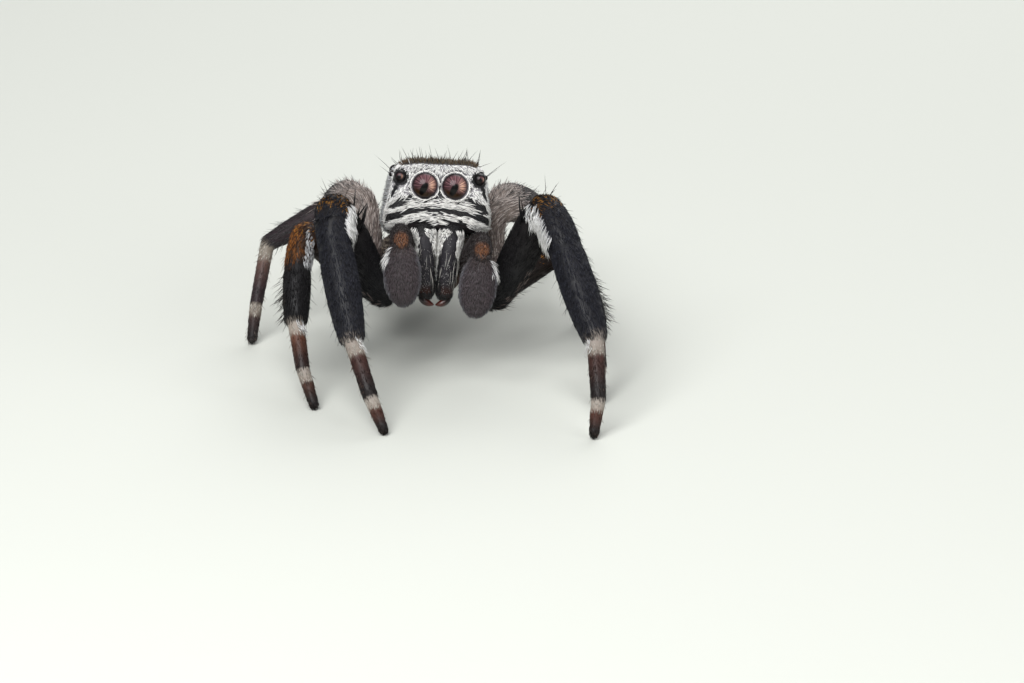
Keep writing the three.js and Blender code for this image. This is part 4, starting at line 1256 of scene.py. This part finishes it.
def make_abdomen():
    """Soft skin under its coat, with three pairs of spinnerets, the waist and the sternum."""
    local = facing_out(rounded_body(ABDOMEN, COAT_DEPTH, 170, 160))
    surface = Surface(abdomen_in_head(local.points), local.outward)
    skin = surface_mesh("abdomen_skin", moved_to_part(surface), abdomen_marks(local.points) * 0.55)
    pieces = [dressed(skin, SHELL, "abdomen", "abdomen"), abdomen_coat(local)]

    thick = (0.075, 0.075, 0.05)
    for k in range(3):
        for side_name, side in SIDES:
            start = np.array([0.1 * side, 2.45, -0.02 - 0.1 * k])
            end = np.array([(0.13 - 0.03 * k) * side, 3.18 - 0.06 * k, 0.02 - 0.11 * k])
            surface = facing_out(pod(start, end, thick, thick, 3, 0.0, 40, 24))
            placed = moved_to_part(Surface(abdomen_in_head(surface.points), surface.outward))
            piece = surface_mesh(f"spinneret_{k + 1}_{side_name}", placed, linear("#3a3029"))
            pieces.append(dressed(piece, SHELL, "underside", "spinnerets"))

    sternum = facing_out(rounded_body(STERNUM, 0.02, 70, 64))
    skin = surface_mesh("sternum_skin", moved_to_part(sternum), linear("#2b221d"))
    roots = scatter(sternum, STERNUM_DENSITY, seed=43)
    rng, count = roots.rng, len(roots)
    lie = unit(BACKWARDS + rng.normal(0, 0.2, (count, 3)))
    length, lift = rng.uniform(0.08, 0.15, count), np.radians(rng.uniform(10, 28, count))
    made = hairs(roots, lie, length, 0.018, lift, 0.15, flat=0.4)
    coat = coat_mesh("sternum_coat", [(to_part(made), linear("#5a4f45"), linear("#857868"))])
    pieces += [dressed(skin, SHELL, "underside", "sternum"), dressed(coat, FUR, "underside")]

    thick = (PEDICEL["radius"],) * 3
    waist = facing_out(pod(PEDICEL["start"], PEDICEL["end"], thick, thick, 4, 0.02, 40, 32))
    skin = surface_mesh("pedicel_skin", moved_to_part(waist), linear("#2b221d"))
    return pieces + [dressed(skin, SHELL, "underside", "pedicel")]


# ------------------------------------------------------------------ legs

def ring_mark(place, start, end, soft=0.05):
    """1 between two places on a leg, with soft ends."""
    return ramp(start - soft, start + soft, place) * (1 - ramp(end - soft, end + soft, place))


# Skin colours down a leg, for the first, the second and both rear pairs. Places 1 to 6 start the
# femur, patella, tibia, metatarsus and tarsus, and end the last.
LEG_COLOURS = {
    1: [(0, "#151214"), (1.2, "#0d0d10"), (2.05, "#120e0d"), (2.9, "#0f0f14"), (3.95, "#0f0f14"),
        (4.03, "#857c75"), (4.24, "#82786f"), (4.32, "#3a221d"), (4.85, "#161010"), (5.0, "#161010"),
        (5.06, "#8c847c"), (5.34, "#8a8077"), (5.46, "#47291f"), (6, "#150f0f")],
    2: [(0, "#171314"), (1.2, "#100f11"), (2.0, "#2a1a10"), (2.8, "#35200f"), (2.98, "#110f11"),
        (3.94, "#100f11"), (4.03, "#8c837a"), (4.2, "#8a8077"), (4.32, "#57372a"), (4.8, "#2a1a16"),
        (5.0, "#1f1412"), (5.06, "#8c847c"), (5.34, "#857b72"), (5.46, "#432b22"), (6, "#150f0f")],
    3: [(0, "#1c1614"), (0.9, "#2e2724"), (1.3, "#6a5f5b"), (2.3, "#71665f"), (2.98, "#4a4140"),
        (3.1, "#2a2023"), (3.94, "#251c20"), (4.03, "#7b7369"), (4.2, "#776e64"), (4.35, "#543f39"),
        (4.8, "#281d20"), (5.02, "#281d20"), (5.08, "#7b7369"), (5.35, "#736960"), (5.5, "#302220"),
        (6, "#161010")],
}


def leg_tint(pair, place):
    """Skin colour at each place down a leg, blended evenly between the stops."""
    at, codes = zip(*LEG_COLOURS[min(pair, 3)])
    table = np.array([linear(code) for code in codes])
    return np.stack([np.interp(place, at, table[:, c]) for c in range(3)], axis=-1)


def leg_coat(pair, side, limb, tag):
    """Coat of one leg: short hair all along, longer hairs that stand off it, then tufts, scales
    and spines where its pair has them, and the pad of hair the foot stands on."""
    surface = limb.surface
    columns = surface.points.shape[1]
    inward, up = unit(np.array([-side * 0.95, -0.3, 0.0])), np.array([0, 0, 1.0])
    cell_place = np.repeat(limb.place[:-1, None], columns, axis=1)
    batches = []

    def leg_roots(density, offset):
        """Roots with their places down the leg."""
        roots = scatter(surface, density, seed=700 + 70 * pair + 7 * side + offset)
        roots.place = np.interp(roots.row, np.arange(len(limb.place)), limb.place)
        return roots

    def tuft(offset, density, span, facing, least, aside, size, lift, root, tip,
             bend=0.15, steps=SHORT_RINGS):
        """Hairs between the two places of span, where the normal leans towards facing by at
        least the given cosine, lying along the leg and aside. size is length and width."""
        roots = leg_roots(density * (cell_place >= span[0]) * (cell_place < span[1]), offset)
        roots.only(roots.normal @ facing > least)
        rng, count = roots.rng, len(roots)
        lie = unit(roots.along + np.array(aside) + rng.normal(0, 0.14, (count, 3)))
        length = size[0] * rng.uniform(0.75, 1.2, count)
        rise = np.radians(lift) * rng.uniform(0.6, 1.35, count)
        made = hairs(roots, lie, length, size[1], rise, bend, flat=0.6, steps=steps)
        tone = shades(count, rng, 0.12)
        batches.append((made, np.clip(root * tone, 0, 0.93), np.clip(tip * tone, 0, 0.95)))

    # Short coat all along the leg.
    roots = leg_roots(LEG_DENSITY[pair] * (cell_place > 0.35), 1)
    rng, count = roots.rng, len(roots)
    pick = rng.uniform(size=count)
    inner = roots.normal @ inward
    colour = leg_tint(pair, roots.place) * 0.8
    pale = (ring_mark(roots.place, 4.0, 4.26) + ring_mark(roots.place, 5.03, 5.38)) > 0.5
    colour = either(pale, linear("#aaa49b"), colour)
    if pair == 1:
        # Front legs' patella and tibia hair: black, made lighter and bluer as a painted sheen.
        colour = mix(colour, BLACK_WITH_PAINTED_BLUE_SHEEN, ring_mark(roots.place, 2.1, 4.0, 0.2))
    elif pair == 2:
        uneven = waves(roots.at, 0.2, 6)
        orange = ring_mark(roots.place + 0.1 * uneven, 1.9, 2.9, 0.12)
        orange = orange * ramp(0.5, 0.0, inner + 0.2 * uneven)
        colour = mix(colour, RUST, orange * (pick < 0.7))
    else:
        colour = mix(colour, linear("#a89d97"), ring_mark(roots.place, 1.2, 2.8, 0.25) * (pick < 0.55))
    colour = np.clip(colour * shades(count, rng, 0.12 if pair == 1 else 0.2), 0, 0.9)
    length = rng.uniform(0.1, 0.16, count) * np.where(roots.place > 4, 0.7, 1.0)
    lie = unit(roots.along + rng.normal(0, 0.075, (count, 3)))
    lift, width = np.radians(rng.uniform(5, 15, count)), rng.uniform(0.011, 0.016, count)
    made = hairs(roots, lie, length, width, lift, 0.08, flat=0.45, steps=SHORT_RINGS)
    batches.append(shaded(made, colour, 0.8))

    # Single longer hairs standing off the leg all round.
    roots = leg_roots(40 * (cell_place > 0.9), 2)
    rng, count = roots.rng, len(roots)
    length = rng.uniform(0.12, 0.26, count) * np.where(roots.place > 4, 0.6, 1.0)
    lie = unit(roots.along + rng.normal(0, 0.15, (count, 3)))
    dark = either(roots.place < 4, BLACK, linear("#5b4a42"))
    lift = np.radians(rng.uniform(26, 55, count))
    made = hairs(roots, lie, length, 0.01, lift, 0.1, steps=(0, 0.4, 0.75), swell=0)
    batches.append((made, dark, dark))

    if pair == 1:
        # White brush on the inner side of the patella, golden scales and black spines at the knee,
        # pale hairs under the femur, upright bristles, and a white tuft on the metatarsus.
        tuft(3, 900, (1.92, 2.8), inward, 0.74, inward - 0.8 * up, (0.27, 0.014), 22,
             GREY_WHITE * 0.8, WHITE)
        tuft(4, 700, (1.9, 2.26), up, 0.35, 0 * up, (0.08, 0.016), 10, RUST * 0.6, GOLD * 0.7)
        tuft(5, 42, (1.7, 1.9), unit(inward + 0.6 * up), 0.86, 2.6 * up, (0.42, 0.04), 42, BLACK, BLACK,
             0.02, LONG_RINGS)
        tuft(6, 110, (0.5, 1.4), -up, 0.35, -0.3 * up, (0.18, 0.01), 28, linear("#4a4341"), PINK_GREY,
             0.3, LONG_RINGS)
        tuft(7, 9, (1.8, 2.2), up, 0.4, 0.6 * up, (0.42, 0.008), 68, BLACK, BROWN_BLACK, 0.1, LONG_RINGS)
        tuft(8, 500, (3.98, 4.22), inward, 0.55, 0.5 * inward, (0.16, 0.012), 30,
             GREY_WHITE * 0.8, WHITE * 0.9)
    elif pair == 2:
        # Long hairs out from the tibia, a white tuft on the metatarsus, golden scales over the
        # knee, and white hair on the inner side of the patella.
        tuft(3, 130, (3.05, 3.9), -inward, 0.5, 0.1 * up, (0.32, 0.01), 48, BLACK, linear("#3a322c"),
             0.15, LONG_RINGS)
        tuft(4, 600, (3.96, 4.2), inward, 0.3, 0.5 * inward, (0.16, 0.012), 28, GREY_WHITE * 0.8, WHITE)
        tuft(5, 200, (1.6, 2.3), up, 0.2, 0 * up, (0.09, 0.016), 14, RUST, GOLD * 0.8)
        tuft(6, 900, (2.02, 2.98), inward, 0.5, 0.35 * inward - 0.15 * up, (0.17, 0.0105), 16,
             GREY_WHITE * 0.65, GREY_WHITE * 0.9)
    else:
        # Pale shaggy hair on the upper leg.
        tuft(3, 70, (1.0, 3.1), up, -0.3, 0.15 * up, (0.22, 0.011), 34, PINK_GREY, linear("#b9b0aa"),
             0.2, LONG_RINGS)
    tuft(9, 1600, (5.8, 6.01), -up, -0.4, -0.25 * up, (0.08, 0.012), 18,
         linear("#1c1614"), linear("#332a26"))
    coat = coat_mesh(f"{tag}_coat", batches)

    # Two small hooked claws at the very end.
    roots = leg_roots(9000 * (cell_place > 5.995), 10)
    heading = limb.heading[-1]
    sideways = unit(np.cross(heading, up))
    wanted = [unit(0.5 * s * sideways + 0.8 * heading + 0.25 * up) for s in (1, -1)]
    roots.only(np.array([int(np.argmax(roots.normal @ way)) for way in wanted]))
    made = hairs(roots, heading * 0.2 - up, 0.1, 0.03, math.radians(55), 0.5,
                 steps=(0, 0.25, 0.5, 0.75), swell=0)
    claws = coat_mesh(f"{tag}_claws", [(made, linear("#1c1210"), linear("#0e0908"))])
    return coat, claws


def make_leg(leg):
    """One skin from coxa to claw, with its coat and claws."""
    pair, side = leg["pair"], dict(SIDES)[leg["side"]]
    spec = LEG_PAIRS[pair]
    tag = f"leg{pair}_{leg['side']}"
    joints = np.vstack([in_head(mirrored(spec["coxa"], side)), leg_joints(leg)])
    columns = 56 if pair == 1 else 44
    down = -unit(joints[-1] - joints[-2])[2]
    tip = min(0.16, (TIP_HEIGHT - 0.06) / max(down, 0.3))  # the foot's dome ends over the floor
    limb = Limb(joints, spec["solid"], spec["skin"], tip, columns)
    surface = limb.surface
    surface.points[..., 2] = np.maximum(surface.points[..., 2], 0.01)
    place = np.repeat(limb.place[:, None], columns, axis=1)
    skin = surface_mesh(f"{tag}_skin", surface, leg_tint(pair, place))
    coat, claws = leg_coat(pair, side, limb, tag)
    slot = "front_leg" if pair < 3 else "rear_leg"
    nodes = [f"{tag}_{part}" for part in ("coxa", "femur", "tibia", "tarsus")]
    return [dressed(skin, LEG_SHELL, slot, *nodes), dressed(coat, FUR if pair > 2 else BRISTLE, slot),
            dressed(claws, FANG_HORN, slot)]


# ------------------------------------------------------------------ palps

def make_palps():
    """Two-piece arms and boxing-glove tips, all under soft hair."""
    pieces = []
    for name, side in SIDES:
        knee, wrist, tip = [mirrored(PALPS[name][key], side) for key in ("knee", "wrist", "tip")]
        joints = in_head(np.array([mirrored(PALP_BASE, side), knee, wrist]))
        limb = Limb(joints, PALP_SOLID, PALP_SKIN, 0.1, 48, per_mm=60)
        spot_height = knee[2] * 0.65 + wrist[2] * 0.35

        def spot_gap(p):
            """Distance in the face plane from the red-brown spot on the arm, in head axes."""
            p = to_head(p)
            return np.hypot(p[..., 0] - knee[0], p[..., 2] - spot_height)

        spot = 1 - ramp(0.08, 0.15, spot_gap(limb.surface.points))
        tint = mix(linear("#1e1716"), linear("#3a2418"), spot)
        arm = surface_mesh(f"palp_{name}_skin", limb.surface, tint)
        axis = unit(tip - wrist)
        top = wrist - axis * GLOVE["overlap"]
        glove = facing_out(pod(top, tip, GLOVE["wide"], GLOVE["deep"], 2.6, 0.035, 90, 72))
        hand = surface_mesh(f"palp_cymbium_{name}_skin", moved_to_part(glove), linear("#2e2628"))

        # Grey-violet hair on the glove, paler towards its outline as seen from the front, which is a
        # painted sheen, and browner at its base.
        roots = scatter(glove, PALP_GLOVE_DENSITY, seed=61 + side)
        rng, count = roots.rng, len(roots)
        lie = unit(axis + rng.normal(0, 0.16, (count, 3)))
        down = (roots.at - top) @ axis / np.linalg.norm(tip - top)
        edge = ramp(0.1, 0.75, 1 - np.abs(roots.normal @ np.array([0, -1.0, 0])))
        colour = mix(linear("#453b3f"), linear("#7b7d84"), edge * rng.uniform(0.1, 0.8, count))
        colour = mix(colour, linear("#33231c"), (1 - ramp(0.05, 0.3, down)) * 0.7) * shades(count, rng)
        length, width = rng.uniform(0.07, 0.13, count), rng.uniform(0.012, 0.018, count)
        lift = np.radians(rng.uniform(16, 36, count))
        made = hairs(roots, lie, length, width, lift, 0.15, flat=0.6, steps=SHORT_RINGS)
        batches = [shaded(to_part(made), colour, 0.7, 0.9, 0.9)]

        # Dark hair on the arm, red-brown on the spot.
        roots = scatter(limb.surface, PALP_ARM_DENSITY, seed=71 + side)
        rng, count = roots.rng, len(roots)
        spot = (1 - ramp(0.09, 0.16, spot_gap(roots.at))) * (to_head(roots.at)[:, 1] < -0.35)
        colour = mix(linear("#241c1b"), linear("#714628"), spot) * shades(count, rng)
        lie = unit(roots.along + rng.normal(0, 0.15, (count, 3)))
        length, lift = rng.uniform(0.07, 0.13, count), np.radians(rng.uniform(10, 30, count))
        made = hairs(roots, lie, length, 0.016, lift, 0.15, flat=0.5, steps=SHORT_RINGS)
        batches.append(shaded(made, colour, 0.8))

        # White tuft on the outer side of the glove's base.
        roots = scatter(glove, 900, seed=81 + side)
        down = (roots.at - top) @ axis / np.linalg.norm(tip - top)
        roots.only((roots.normal[:, 0] * side > 0.6) & (down < 0.3) & (down > 0.06))
        rng, count = roots.rng, len(roots)
        lie = unit(axis + 0.35 * np.array([side, 0, 0]) + rng.normal(0, 0.15, (count, 3)))
        length, lift = rng.uniform(0.18, 0.3, count), np.radians(rng.uniform(18, 36, count))
        made = hairs(roots, lie, length, 0.013, lift, 0.3, flat=0.5)
        batches.append((to_part(made), GREY_WHITE * 0.8, WHITE * 0.9))
        coat = coat_mesh(f"palp_{name}_coat", batches)
        pieces += [dressed(arm, LEG_SHELL, "palp", f"palp_femur_{name}", f"palp_tibia_{name}"),
                   dressed(hand, SHELL, "palp", f"palp_cymbium_{name}"), dressed(coat, FUR, "palp")]
    return pieces


# ------------------------------------------------------------------ stage

def make_stage():
    """Plain pale floor, soft lights from the left, the right and behind, and the camera."""
    mesh = bpy.data.meshes.new("floor")
    half = 0.4  # metres
    corners = [(-half, -half, 0), (half, -half, 0), (half, half, 0), (-half, half, 0)]
    mesh.from_pydata(corners, [], [(0, 1, 2, 3)])
    floor = bpy.data.objects.new("floor", mesh)
    bpy.context.scene.collection.objects.link(floor)
    material, tree = new_material("matt pale card")
    shader = node(tree, "ShaderNodeBsdfPrincipled", Base_Color=(*linear("#c3c5be"), 1), Roughness=0.9)
    node(tree, "ShaderNodeOutputMaterial", [("Surface", shader, "BSDF")])
    floor.data.materials.append(material)

    world = bpy.data.worlds.new("soft room")
    world.use_nodes = True
    background = world.node_tree.nodes["Background"]
    background.inputs["Color"].default_value = (0.93, 0.96, 1.0, 1)
    background.inputs["Strength"].default_value = 0.3
    bpy.context.scene.world = world

    def placed(name, data, at, back):
        """An object of data at a place in mm, looking away from the direction back."""
        thing = bpy.data.objects.new(name, data)
        thing.location = at * MM
        thing.rotation_mode = "QUATERNION"
        thing.rotation_quaternion = Vector(back).to_track_quat("Z", "Y")
        bpy.context.scene.collection.objects.link(thing)
        return thing

    # Lamps: direction from the animal, side of the square in mm, and power in watts.
    target = np.array([0, 0, FACE_HEIGHT - 1.2]) + SHIFT
    lamp_distance = 60
    for name, way, size, power in (("key", (-0.35, -0.75, 1.0), 45, 0.05),
                                   ("fill", (0.9, -0.6, 0.5), 40, 0.012),
                                   ("rim", (0.3, 1.0, 0.8), 40, 0.02)):
        lamp = bpy.data.lights.new(name, "AREA")
        lamp.size = size * MM
        lamp.energy = power
        way = unit(np.array(way))
        placed(name, lamp, target + way * lamp_distance, way)

    # The lens looks down at 22 degrees from 170 mm away. It aims 1.31 mm to the animal's left of
    # the two big eyes and 2.83 mm under them, so that the face is left of and above the middle.
    tilt, distance, aside, under = math.radians(22), 170, 1.309, 2.827
    ahead = np.array([0, math.cos(tilt), -math.sin(tilt)])
    above = np.array([0, math.sin(tilt), math.cos(tilt)])
    eyes = in_head((0, 0, 0)) + SHIFT
    camera = bpy.data.cameras.new("camera")
    camera.lens, camera.sensor_width = 328.7, 36
    camera.clip_start, camera.clip_end = 0.001, 10
    at = eyes - distance * ahead + aside * np.array([1.0, 0, 0]) - under * above
    bpy.context.scene.camera = placed("camera", camera, at, -ahead)
    bpy.context.scene.view_settings.view_transform = "Standard"


# ------------------------------------------------------------------ assembly

make_stage()
pieces = make_carapace() + make_eyes() + make_mouth() + make_palps() + make_abdomen()
for leg in LEGS:
    pieces += make_leg(leg)
for piece in pieces:
    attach(piece, "root")
